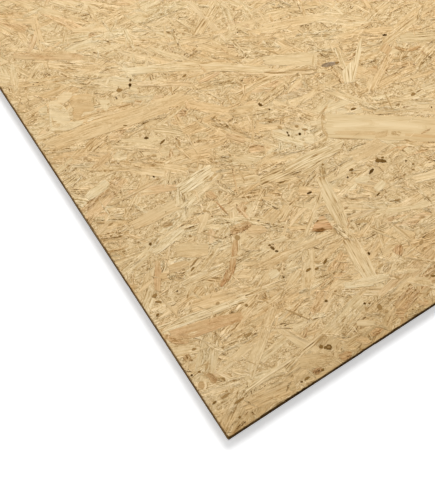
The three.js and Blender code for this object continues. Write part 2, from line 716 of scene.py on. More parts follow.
@dataclass(frozen=True, kw_only=True)
class CutEndFinish(Finish):
    """Strands cut through by the saw: brown, with a few pale ones."""

    name: str = "cut_strand_end"
    roughness: float = 0.74
    bump: float = 0.0002
    bands: float = 0.2
    grain_gain: float = 0.22
    rim_shade: float = 0.14

    def pattern(self, graph: Graph) -> tuple[Socket, Socket, Socket]:
        """Wires the grain and the shaded rims.

        Args:
            graph: the material's graph.

        Returns:
            The colour, what roughens it and the height.
        """
        place = graph.add("UVMap", uv_map=GRAIN_MAP).outputs[0]
        wood = graph.place(Grain(), Vector=place, Bands=self.bands)
        level = graph.plus(graph.attribute("tone"), wood.outputs["Tone"], self.grain_gain)
        level = graph.plus(level, graph.attribute("rim"), -self.rim_shade)
        return graph.ramp(level, WOOD_RAMP), wood.outputs["Tone"], wood.outputs["Height"]


@dataclass(frozen=True, kw_only=True)
class BarkFinish(Finish):
    """Specks of bark and pitch pressed into the face."""

    name: str = "bark_speck"
    roughness: float = 0.8
    bump: float = 0.0002
    crumbs: float = 1400.0  # how many there are in a metre
    crumb_roughness: float = 0.6
    crumb_gain: float = 0.2

    def pattern(self, graph: Graph) -> tuple[Socket, Socket, Socket]:
        """Wires the crumbs.

        Args:
            graph: the material's graph.

        Returns:
            The colour, what roughens it and the height.
        """
        place = graph.add("UVMap", uv_map=GRAIN_MAP).outputs[0]
        crumbs = graph.noise(place, self.crumbs, roughness=self.crumb_roughness).outputs[0]
        level = graph.math("ADD", graph.attribute("tone"), graph.swing(crumbs, self.crumb_gain))
        return graph.ramp(level, WOOD_RAMP), crumbs, crumbs


# --- Flat wood flakes ---


@dataclass(frozen=True)
class Outline:
    """The shape that one kind of flake is broken into."""

    NOTCH_FALL = 1.5  # how much rarer deep notches are than shallow ones
    END_STEADINESS = 0.5  # how much less an end point strays than a side point

    end_points: int  # across each ragged end
    side_points: int  # along each side, between its ends
    raggedness: float  # how far an end point lies back from the end, as a share of the length
    taper: float  # how much narrower one end may be
    wobble: float  # how far a side point strays, as a share of the width
    bow: float  # how far the middle may stray from a straight line, as a share of the length

    @property
    def count(self) -> int:
        """The number of points on the outline."""
        return 2 * (self.end_points + self.side_points)

    def draw(self, rng: np.random.Generator, number: int) -> Array:
        """Draws outlines of unit length and unit width, anticlockwise.

        Args:
            rng: the source of chance.
            number: how many outlines.

        Returns:
            An array of number x count x 2.
        """
        across = (np.arange(self.end_points) + 0.5) / self.end_points - 0.5
        along = (np.arange(self.side_points) + 1) / (self.side_points + 1) - 0.5
        right = np.stack([np.full(self.end_points, 0.5), across], 1)
        top = np.stack([along[::-1], np.full(self.side_points, 0.5)], 1)
        half = np.concatenate([right, top])
        unit = np.tile(np.concatenate([half, -half]), (number, 1, 1))
        at_end = np.tile(np.repeat([1.0, 0.0], [self.end_points, self.side_points]), 2)
        back = rng.random((number, self.count)) ** self.NOTCH_FALL * self.raggedness * at_end
        unit[..., 0] -= np.sign(unit[..., 0]) * back
        stray = rng.uniform(-1, 1, (number, self.count)) * self.wobble
        unit[..., 1] += stray * (1 - self.END_STEADINESS * at_end)
        unit[..., 1] *= 1 + rng.uniform(-self.taper, self.taper, (number, 1)) * 2 * unit[..., 0]
        return unit


@dataclass(frozen=True)
class DrawnOutline:
    """The shape of one flake that is drawn: anticlockwise points in a square of unit size."""

    points: tuple[Pair, ...]
    roughness: float = 0.02

    def draw(self, rng: np.random.Generator, number: int) -> Array:
        """Draws the outline, each time a little roughened.

        Args:
            rng: the source of chance.
            number: how many outlines.

        Returns:
            An array of number x points x 2.
        """
        unit = np.tile(np.array(self.points), (number, 1, 1))
        return unit + rng.uniform(-self.roughness, self.roughness, unit.shape)


@dataclass(frozen=True)
class Cut:
    """One kind of flake: how many there are, how big they are and how they look.

    Lengths are in millimetres, turns in degrees. Pairs are the lowest and the highest value.
    """

    name: str
    count: int
    length: Pair
    width: Pair
    outline: Outline
    turn: float
    wild: float  # the share that lies in any direction
    level: Pair  # depth of the upper face under the sheet's face
    tilt: float
    skirt: float
    tone: Pair  # middle and spread on the wood ramp
    figure: Pair = (0.6, 1.3)
    broken: Pair = (0.0, 0.0)
    heart_share: float = 0.08
    stain_share: float = 0.004
    pieces: int = 1


LOOKS = ("tone", "figure", "broken", "heart", "stain", "cast")  # what each flake's faces carry


@dataclass
class Flakes:
    """Flakes whose outlines have as many points, each a row of every array. Lengths are in metres."""

    unit: Array  # the outline, of unit length and unit width
    size: Array  # the length and the width
    bow: Array  # how far the middle is bent sideways
    place: Array  # the middle on the side
    turn: Array  # in radians
    level: Array  # how deep the upper face lies under the sheet's
    tilt: Array  # how fast it rises along and across the grain
    skirt: Array  # how wide its sloping rim is
    looks: dict[str, Array]

    def chosen(self, which: Array) -> "Flakes":
        """Returns the flakes that a mask or a list of numbers picks."""
        rows = {label: values[which] for label, values in vars(self).items() if label != "looks"}
        return Flakes(**rows, looks={name: values[which] for name, values in self.looks.items()})

    def turned(self, points: Array, sign: int = 1) -> Array:
        """Turns points from each flake's grain to the side that it lies on, or back with a sign of -1."""
        cos, sin = np.cos(self.turn)[:, None], sign * np.sin(self.turn)[:, None]
        x, y = points[..., 0], points[..., 1]
        return np.stack([x * cos - y * sin, x * sin + y * cos], 2)

    def outlines(self) -> tuple[Array, Array]:
        """Returns the outlines along and across the grain, and the same bent and laid on the side."""
        local = self.unit * self.size[:, None]
        bowed = local.copy()
        bowed[..., 1] += self.bow[:, None] * (1 - 4 * self.unit[..., 0] ** 2)
        return local, self.turned(bowed) + self.place[:, None]


def clipped_outline(points: Array, half: Array) -> Array:
    """Cuts one outline along the sheet's four edges.

    Args:
        points: rows of x, y on the sheet, then any further numbers, which are carried along.
        half: half the sheet's length and half its width.

    Returns:
        The rows that are left, with new rows where an edge crosses the outline.
    """
    for axis in (0, 1):
        for sign in (1.0, -1.0):
            if len(points) < 3:
                return points[:0]
            inside = half[axis] - sign * points[:, axis]
            after = np.roll(points, -1, axis=0)
            after_inside = np.roll(inside, -1)
            kept = []
            for here, there, a, b in zip(points, after, inside, after_inside, strict=True):
                if a >= 0:
                    kept.append(here)
                if (a >= 0) != (b >= 0):
                    kept.append(here + (there - here) * (a / (a - b)))
            points = np.array(kept).reshape(-1, points.shape[1])
    return points


def cell_places(sizes: Array, gap: float, growth: float = 1.01) -> tuple[Array, float]:
    """Lays cells out in rows inside a square, the highest first.

    Args:
        sizes: the width and height of each cell.
        gap: the room left between two cells.
        growth: how much bigger the next square is that is tried.

    Returns:
        The lower left corner of each cell, and the square's side, in the units of sizes.
    """
    order = np.argsort(-sizes[:, 1], kind="stable")
    room = sizes + gap
    side = max(math.sqrt(float(room.prod(1).sum())), float(room[:, 0].max()))
    places = np.zeros_like(sizes)
    while True:
        x, y, row = 0.0, 0.0, 0.0
        for index in order:
            width, height = room[index]
            if x + width > side:
                x, y, row = 0.0, y + row, 0.0
            places[index] = x + gap / 2, y + gap / 2
            x += width
            row = max(row, height)
        if y + row <= side:
            return places, side
        side *= growth


# Steps that spread the flakes evenly over the grain pattern, and how far over it, in metres.
GRAIN_STEPS = (0.754877, 0.569840)
GRAIN_REACH = (9.0, 3.0)


def grain_offsets(first: int, number: int) -> Array:
    """Returns a far-off place on the grain pattern for each flake."""
    index = np.arange(first, first + number)
    return np.stack([(index * step) % 1.0 for step in GRAIN_STEPS], 1)[:, None] * GRAIN_REACH


@dataclass
class Batch:
    """Flakes that are laid on a side and cut off at its borders."""

    flakes: Flakes
    outer: Array  # the foot's outline on the side
    local: Array  # the same along and across the grain
    plane: Plane
    border: Array  # half the side's length and height, less the margin
    thinnest: float = 0.2 * MM  # no flake counts as narrower when its rim is drawn in
    least_top: float = 0.35  # the least share of a flake that stays as its top
    least_body: float = 0.95  # how near its foot a top may come, as a share of the foot's depth
    clearance: float = 0.004 * MM  # how far every top stays under the sheet's face

    def rings(self, base: float) -> tuple[Array, Array]:
        """Draws the tops in by the width of the rim, and places every corner.

        Args:
            base: how deep the feet lie under the face.

        Returns:
            The tops' outlines along and across the grain, and the corners in the sheet's frame: for each
            flake the ring of its top, then that of its foot.
        """
        flakes = self.flakes
        on_middle = self.outer.mean(1, keepdims=True)
        in_middle = self.local.mean(1, keepdims=True)
        half = np.maximum(np.ptp(self.local, axis=1) / 2, self.thinnest)[:, None]
        keep = np.clip(1 - flakes.skirt[:, None, None] / half, self.least_top, 1.0)
        inner = in_middle + (self.local - in_middle) * keep
        drawn_in = flakes.turned(flakes.turned(self.outer - on_middle, -1) * keep)
        on_side = np.clip(on_middle + drawn_in, -self.border, self.border)
        tilt = flakes.tilt
        height = -flakes.level[:, None] + inner[..., 0] * tilt[:, :1] + inner[..., 1] * tilt[:, 1:]
        height = np.clip(height, -base * self.least_body, -self.clearance)
        top = np.concatenate([on_side, height[..., None]], 2)
        foot = np.concatenate([self.outer, np.full((*height.shape, 1), -base)], 2)
        return inner, self.plane.placed(np.concatenate([top, foot], 1).reshape(-1, 3))


@dataclass
class Faces:
    """Faces of one kind, as many to each flake, with what they and their corners carry."""

    corners: Array  # the corners' numbers, the flakes first and each face's corners last
    maps: Array  # the corners' places on both maps
    flakes: Flakes
    rim: tuple[float, ...] = (0.0,)  # which corners of a face lie on the outer rim

    def rims(self) -> Array:
        """Returns for each corner whether it lies on the outer rim."""
        return np.tile(self.rim, self.corners.size // len(self.rim))

    def look(self, name: str) -> Array:
        """Returns one of the looks of each face."""
        return np.repeat(self.flakes.looks[name], self.corners[0, ..., 0].size)


def new_piece(name: str, points: Array, parts: list[Faces]) -> Object:
    """Makes a piece at the origin.

    Args:
        name: its name.
        points: its corners.
        parts: its faces.

    Returns:
        The piece.
    """
    mesh = bpy.data.meshes.new(name)
    faces = [face for part in parts for face in part.corners.reshape(-1, part.corners.shape[-1]).tolist()]
    mesh.from_pydata(points.tolist(), [], faces)
    maps = np.concatenate([part.maps.reshape(-1, 4) for part in parts]).astype(np.float32)
    for label, values in ((GRAIN_MAP, maps[:, :2]), (BAKE_MAP, maps[:, 2:])):
        mesh.uv_layers.new(name=label).uv.foreach_set("vector", values.ravel())
    layers = [("rim", "CORNER", [part.rims() for part in parts])]
    layers += [(look, "FACE", [part.look(look) for part in parts]) for look in LOOKS]
    for label, domain, values in layers:
        layer = mesh.attributes.new(label, "FLOAT", domain)
        layer.data.foreach_set("value", np.concatenate(values).astype(np.float32))
    mesh.uv_layers.active = mesh.uv_layers[GRAIN_MAP]
    piece = bpy.data.objects.new(name, mesh)
    bpy.context.scene.collection.objects.link(piece)
    return piece


@dataclass
class FlakeMesh:
    """Gathers flakes into one mesh of closed, flat, thin solids."""

    name: str
    base: float  # how deep each flake's foot lies under the face
    cell_gap: float = 1.6 * MM
    least_cut: float = 0.4 * MM  # a flake of which less is left at the border is left out
    batches: list[Batch] = field(default_factory=list)

    def lay(self, flakes: Flakes, plane: Plane, margin: float) -> None:
        """Adds flakes, cut off along the borders of their side.

        Args:
            flakes: the flakes.
            plane: the side of the sheet that they lie on.
            margin: how far they stay back from its borders.
        """
        half = plane.half - margin
        local, outer = flakes.outlines()
        inside = (np.abs(outer) <= half).all((1, 2))
        if inside.any():
            self.batches.append(Batch(flakes.chosen(inside), outer[inside], local[inside], plane, half))
        cut_up: dict[int, list[tuple[int, Array]]] = {}
        for index in np.flatnonzero(~inside & (np.abs(outer) <= half).all(2).any(1)):
            left = clipped_outline(np.concatenate([outer[index], local[index]], 1), half)
            if len(left) >= 3 and np.ptp(left[:, :2], axis=0).min() > self.least_cut:
                cut_up.setdefault(len(left), []).append((index, left))
        for count in sorted(cut_up):
            picked, rows = (np.array(values) for values in zip(*cut_up[count], strict=True))
            self.batches.append(Batch(flakes.chosen(picked), rows[..., :2], rows[..., 2:], plane, half))

    def build(self) -> Object:
        """Returns the piece, at the origin: all the feet come first, then each batch's sides and tops."""
        sizes = np.concatenate([np.ptp(batch.local, axis=1) for batch in self.batches])
        lows = np.concatenate([batch.local.min(1) for batch in self.batches])
        cells, side = cell_places(sizes, self.cell_gap)
        points, feet, upper = [], [], []
        first, done = 0, 0
        for batch in self.batches:
            number, count = batch.local.shape[:2]
            inner, corners = batch.rings(self.base)
            points.append(corners)
            offset = grain_offsets(done, number)
            origin = (cells[done : done + number] - lows[done : done + number])[:, None]
            inner_maps, outer_maps = (
                np.concatenate([ring + offset, (ring + origin) / side], 2) for ring in (inner, batch.local)
            )
            top = first + np.arange(number)[:, None] * 2 * count + np.arange(count)
            foot = top + count
            after = np.roll(np.arange(count), -1)
            sides = np.stack([foot, foot[:, after], top[:, after], top], 2)
            side_maps = np.stack([outer_maps, outer_maps[:, after], inner_maps[:, after], inner_maps], 2)
            feet.append(Faces(foot[:, ::-1], inner_maps[:, ::-1], batch.flakes))
            upper.append(Faces(sides, side_maps, batch.flakes, (1.0, 1.0, 0.0, 0.0)))
            upper.append(Faces(top, inner_maps, batch.flakes))
            first += 2 * number * count
            done += number
        return new_piece(self.name, np.concatenate(points), feet + upper)


@dataclass(frozen=True)
class Turning:
    """A border on the sheet, past which the forming line has turned the strands."""

    turn: float  # in radians
    along: float  # how far a metre in X leads past the border
    across: float  # how far a metre in Y does
    start: float  # where the border lies, by that measure
    softness: float

    def at(self, x: Array, y: Array) -> Array:
        """Returns how far the strands are turned at each place, measured from the near left corner."""
        past = self.along * x + self.across * y - self.start
        return self.turn * (1 / (1 + np.exp(-past / self.softness)))


@dataclass
class Mat:
    """The strands of one face."""

    sheet: SheetSize
    side: Side
    seed: int  # where the chance of this face starts
    overhang: float = 40 * MM
    foot: float = 0.75 * MM  # how deep the flakes reach under the face
    rim_room: float = 0.12 * MM  # how far they stay back from the sawn edge
    mark_spread: float = 0.004  # in millimetres, so that no two marked flakes share a plane
    jitter: Pair = (-0.25, 1.25)  # where in its place of the grid a flake may lie
    length_skew: Pair = (2.0, 2.6)
    width_skew: Pair = (1.6, 2.8)
    tone_reach: float = 2.4  # in spreads
    heart: Pair = (0.15, 0.5)
    stain: Pair = (0.05, 0.25)
    cast: Pair = (-1.4, 1.4)
    main_turn: float = 0.13
    slow_turn: float = 0.10
    slow_wave: Triple = (2.3, 3.1, 0.9)  # in radians a metre in X and in Y, and its shift
    quick_turn: float = 0.03
    quick_wave: Pair = (9.1, 7.3)
    swing: Turning = Turning(0.58, 0.75, 0.5, 0.285, 0.018)
    swing_end: Turning = Turning(1.0, 1.0, 1.0, 1.15, 0.12)
    far_left: Turning = Turning(0.22, -1.0, 1.0, 0.20, 0.04)
    near: Turning = Turning(0.20, -0.5, -1.0, -0.11, 0.02)

    def __post_init__(self) -> None:
        """Finds the face's plane and starts its chance."""
        self.plane = self.sheet.plane(self.side)
        self.rng = np.random.default_rng(self.seed)

    def drift(self, place: Array) -> Array:
        """Returns how far the forming line has turned the strands at each place, in radians."""
        x, y = (place + self.sheet.half).T
        slow_x, slow_y, shift = self.slow_wave
        quick_x, quick_y = self.quick_wave
        slow = np.sin(x * slow_x) * np.cos(y * slow_y - shift)
        quick = np.sin(x * quick_x - y * quick_y)
        turn = self.slow_turn * slow + self.quick_turn * quick
        turn -= self.swing.at(x, y) * (1 - self.swing_end.at(x, y))
        return turn - self.far_left.at(x, y) - self.near.at(x, y) + self.main_turn

    def scatter(self, count: int) -> Array:
        """Spreads places evenly over the face and a little past its edges."""
        size = self.sheet.half * 2 + 2 * self.overhang
        columns = max(1, round(math.sqrt(count * size[0] / size[1])))
        rows = max(1, round(count / columns))
        grid = np.stack(np.meshgrid(np.arange(columns), np.arange(rows)), 2).reshape(-1, 2)
        spread = (grid + self.rng.uniform(*self.jitter, grid.shape)) / (columns, rows) * size - size / 2
        return spread[self.rng.permutation(len(spread))]

    def draw(self, cut: Cut) -> Flakes:
        """Draws all the flakes of one kind."""
        rng = self.rng
        place = self.scatter(cut.count)
        number = len(place)
        length, width = (
            (low + (high - low) * rng.beta(*skew, number)) * MM
            for (low, high), skew in ((cut.length, self.length_skew), (cut.width, self.width_skew))
        )
        turn = self.drift(place) + np.radians(cut.turn) * rng.standard_normal(number)
        wild = rng.random(number) < cut.wild
        turn = np.where(wild, rng.uniform(-math.pi / 2, math.pi / 2, number), turn)
        turn += math.pi * rng.integers(0, 2, number)
        spread = np.clip(rng.standard_normal(number), -self.tone_reach, self.tone_reach)
        looks = {
            "tone": cut.tone[0] + cut.tone[1] * spread,
            "figure": rng.uniform(*cut.figure, number),
            "broken": rng.uniform(*cut.broken, number),
            "heart": np.where(rng.random(number) < cut.heart_share, rng.uniform(*self.heart, number), 0.0),
            "stain": np.where(rng.random(number) < cut.stain_share, rng.uniform(*self.stain, number), 0.0),
            "cast": rng.uniform(*self.cast, number),
        }
        unit = cut.outline.draw(rng, number)
        bow = rng.uniform(-1, 1, number) * cut.outline.bow * length
        level = rng.uniform(*cut.level, number) * MM
        size = np.stack([length, width], 1)
        tilt = rng.uniform(-1, 1, (number, 2)) * cut.tilt * MM / size
        return Flakes(unit, size, bow, place, turn, level, tilt, np.full(number, cut.skirt * MM), looks)

    def marked(self, mark: "Mark") -> Flakes:
        """Makes a flake that lies at a set place, measured from the sheet's near left corner.

        Its chance comes from its own place, so the others stay as they are when one is changed.

        Args:
            mark: the flake.
        """
        rng = np.random.default_rng((self.seed, round(2 * mark.x), round(2 * mark.y)))
        return Flakes(
            mark.outline.draw(rng, 1),
            np.array([[mark.length, mark.width]]) * MM,
            np.array([mark.bow]) * MM,
            np.array([[mark.x, mark.y]]) * MM - self.sheet.half,
            np.radians([mark.turn]),
            (mark.level + rng.uniform(0.0, self.mark_spread, 1)) * MM,
            np.zeros((1, 2)),
            np.array([mark.skirt * MM]),
            {name: np.array([getattr(mark, name)]) for name in LOOKS},
        )

    def lay(self, name: str, batches: list[Flakes]) -> Object:
        """Cuts flakes at the sawn edges and joins them into one piece.

        Args:
            name: the piece's name.
            batches: the flakes.

        Returns:
            The piece.
        """
        mesh = FlakeMesh(name, self.foot)
        for flakes in batches:
            mesh.lay(flakes, self.plane, self.rim_room)
        return mesh.build()

    def lay_cut(self, cut: Cut) -> list[Object]:
        """Draws and lays all the flakes of one kind.

        Args:
            cut: the kind.

        Returns:
            The pieces, numbered where the kind has several.
        """
        flakes = self.draw(cut)
        if cut.pieces == 1:
            return [self.lay(cut.name, [flakes])]
        shares = (flakes.chosen(np.arange(part, len(flakes.place), cut.pieces)) for part in range(cut.pieces))
        return [self.lay(f"{cut.name}_{part + 1}", [share]) for part, share in enumerate(shares)]


# --- The kinds of strands ---

LONG = Outline(end_points=4, side_points=2, raggedness=0.09, taper=0.22, wobble=0.07, bow=0.035)
CHIP = Outline(end_points=2, side_points=2, raggedness=0.16, taper=0.35, wobble=0.12, bow=0.05)
SLIVER = Outline(end_points=1, side_points=2, raggedness=0.05, taper=0.4, wobble=0.2, bow=0.06)
CRUMB = Outline(end_points=1, side_points=2, raggedness=0.2, taper=0.3, wobble=0.25, bow=0.1)
DOT = Outline(end_points=2, side_points=1, raggedness=0.16, taper=0.2, wobble=0.15, bow=0.0)
SPLIT = Outline(end_points=1, side_points=2, raggedness=0.05, taper=0.4, wobble=0.25, bow=0.13)

TOP_CUTS = (
    Cut(
        "strands", 4700, (50, 130), (7, 28), LONG, turn=26, wild=0.10, level=(0.16, 0.48), tilt=0.16,
        skirt=0.90, tone=(0.565, 0.015), figure=(0.4, 1.3), broken=(0.5, 1.3), pieces=2,
    ),
    Cut(
        "chips", 6000, (12, 48), (3.0, 11), CHIP, turn=50, wild=0.25, level=(0.06, 0.36), tilt=0.14,
        skirt=0.70, tone=(0.565, 0.018), figure=(0.4, 1.2), broken=(0.8, 1.5), heart_share=0.06,
    ),
    Cut(
        "slivers", 10000, (7, 28), (1.0, 3.6), SLIVER, turn=60, wild=0.35, level=(0.02, 0.26), tilt=0.12,
        skirt=0.36, tone=(0.57, 0.026), broken=(0.5, 1.1), heart_share=0.05, stain_share=0.003, pieces=2,
    ),
)
UNDERSIDE_CUTS = (
    Cut(
        "underside_strands", 2800, (60, 140), (7, 30), LONG, turn=20, wild=0.05, level=(0.10, 0.50),
        tilt=0.16, skirt=0.40, tone=(0.57, 0.045), broken=(0.1, 1.1),
    ),
    Cut(
        "underside_slivers", 3500, (8, 40), (1.0, 4.0), SLIVER, turn=38, wild=0.25, level=(0.02, 0.26),
        tilt=0.12, skirt=0.28, tone=(0.58, 0.08), broken=(0.3, 0.8),
    ),
)
BARK = Cut(
    "bark_specks", 330, (1.2, 5.5), (0.8, 3.0), CRUMB, turn=40, wild=0.4, level=(0.01, 0.12), tilt=0.05,
    skirt=0.3, tone=(0.10, 0.07), heart_share=0.0, stain_share=0.0,
)
CRACKS = Cut(
    "dark_slivers", 2300, (3, 20), (0.35, 0.8), SPLIT, turn=34, wild=0.25, level=(0.01, 0.14), tilt=0.05,
    skirt=0.15, tone=(0.26, 0.055), heart_share=0.0, stain_share=0.0,
)


@dataclass(frozen=True)
class Mark:
    """One flake at a set place on the upper face. Lengths are in millimetres."""

    name: str
    x: float  # the middle, from the near left corner
    y: float
    length: float
    width: float
    turn: float  # in degrees from +X
    tone: float
    level: float = 0.06
    broken: float = 0.4
    cast: float = 0.0
    outline: Outline | DrawnOutline = LONG
    figure: float = 0.6
    heart: float = 0.0
    stain: float = 0.0
    bow: float = 0.0
    skirt: float = 0.9


@dataclass(frozen=True)
class Speck(Mark):
    """A crumb of bark or pitch."""

    level: float = 0.01
    outline: Outline | DrawnOutline = DOT
    skirt: float = 0.15


@dataclass(frozen=True)
class Crack(Speck):
    """A thin dark split."""

    outline: Outline | DrawnOutline = SPLIT


# Flakes of a shape of their own, drawn with the near corner downwards.
BLUNT = DrawnOutline(
    (
        (-0.49, -0.5), (0.5, -0.5), (0.5, 0.5), (-0.497, 0.5), (-0.486, 0.2), (-0.5, -0.05), (-0.487, -0.3),
    ), 0.004,
)
TRIANGLE = DrawnOutline(
    (
        (-0.5, -0.5), (0.45, -0.5), (0.5, -0.35), (0.35, 0.1), (0.2, 0.5), (-0.05, 0.45), (-0.3, 0.05),
    ),
)
PATCH = DrawnOutline(
    (
        (-0.45, 0.1), (-0.35, -0.45), (-0.05, -0.5), (0.2, -0.45), (0.2, -0.35), (0.5, -0.15), (0.45, 0.0),
        (0.35, 0.15), (0.05, 0.35), (-0.2, 0.5), (-0.5, 0.4),
    ),
)
LOBE = DrawnOutline(
    (
        (-0.5, -0.4), (-0.05, -0.5), (0.2, -0.3), (0.45, 0.1), (0.5, 0.5), (-0.1, 0.5), (-0.5, 0.05),
    ),
)
WING = DrawnOutline(((-0.5, -0.5), (0.0, -0.25), (0.45, 0.15), (0.5, 0.5), (-0.1, 0.4), (-0.5, -0.1)))
HOOK = DrawnOutline(((-0.05, -0.5), (0.5, -0.25), (0.45, 0.5), (-0.3, 0.2), (-0.5, -0.1)))
BLOB = DrawnOutline(
    (
        (-0.5, 0.1), (-0.35, -0.05), (-0.35, -0.45), (-0.2, -0.5), (0.05, -0.15), (0.35, -0.15), (0.5, -0.05),
        (0.4, 0.05), (0.5, 0.2), (0.45, 0.45), (0.05, 0.5), (-0.45, 0.4),
    ),
)
KITE = DrawnOutline(((-0.3, 0.05), (-0.15, -0.3), (0.15, -0.5), (0.5, -0.05), (0.35, 0.4), (-0.5, 0.5)))
SHARD = DrawnOutline(((-0.5, -0.45), (0.15, -0.5), (0.5, 0.25), (0.0, 0.5), (-0.4, 0.4)))
FORK = DrawnOutline(((-0.5, 0.45), (-0.25, -0.05), (0.1, -0.5), (0.5, -0.35), (0.45, 0.15), (-0.15, 0.4)))
PRONG = DrawnOutline(((-0.5, 0.0), (-0.3, -0.4), (0.5, -0.2), (0.5, 0.35), (-0.2, 0.45)))
DISC = DrawnOutline(((-0.5, 0.0), (-0.3, -0.4), (0.2, -0.5), (0.5, -0.1), (0.35, 0.4), (-0.1, 0.5)))

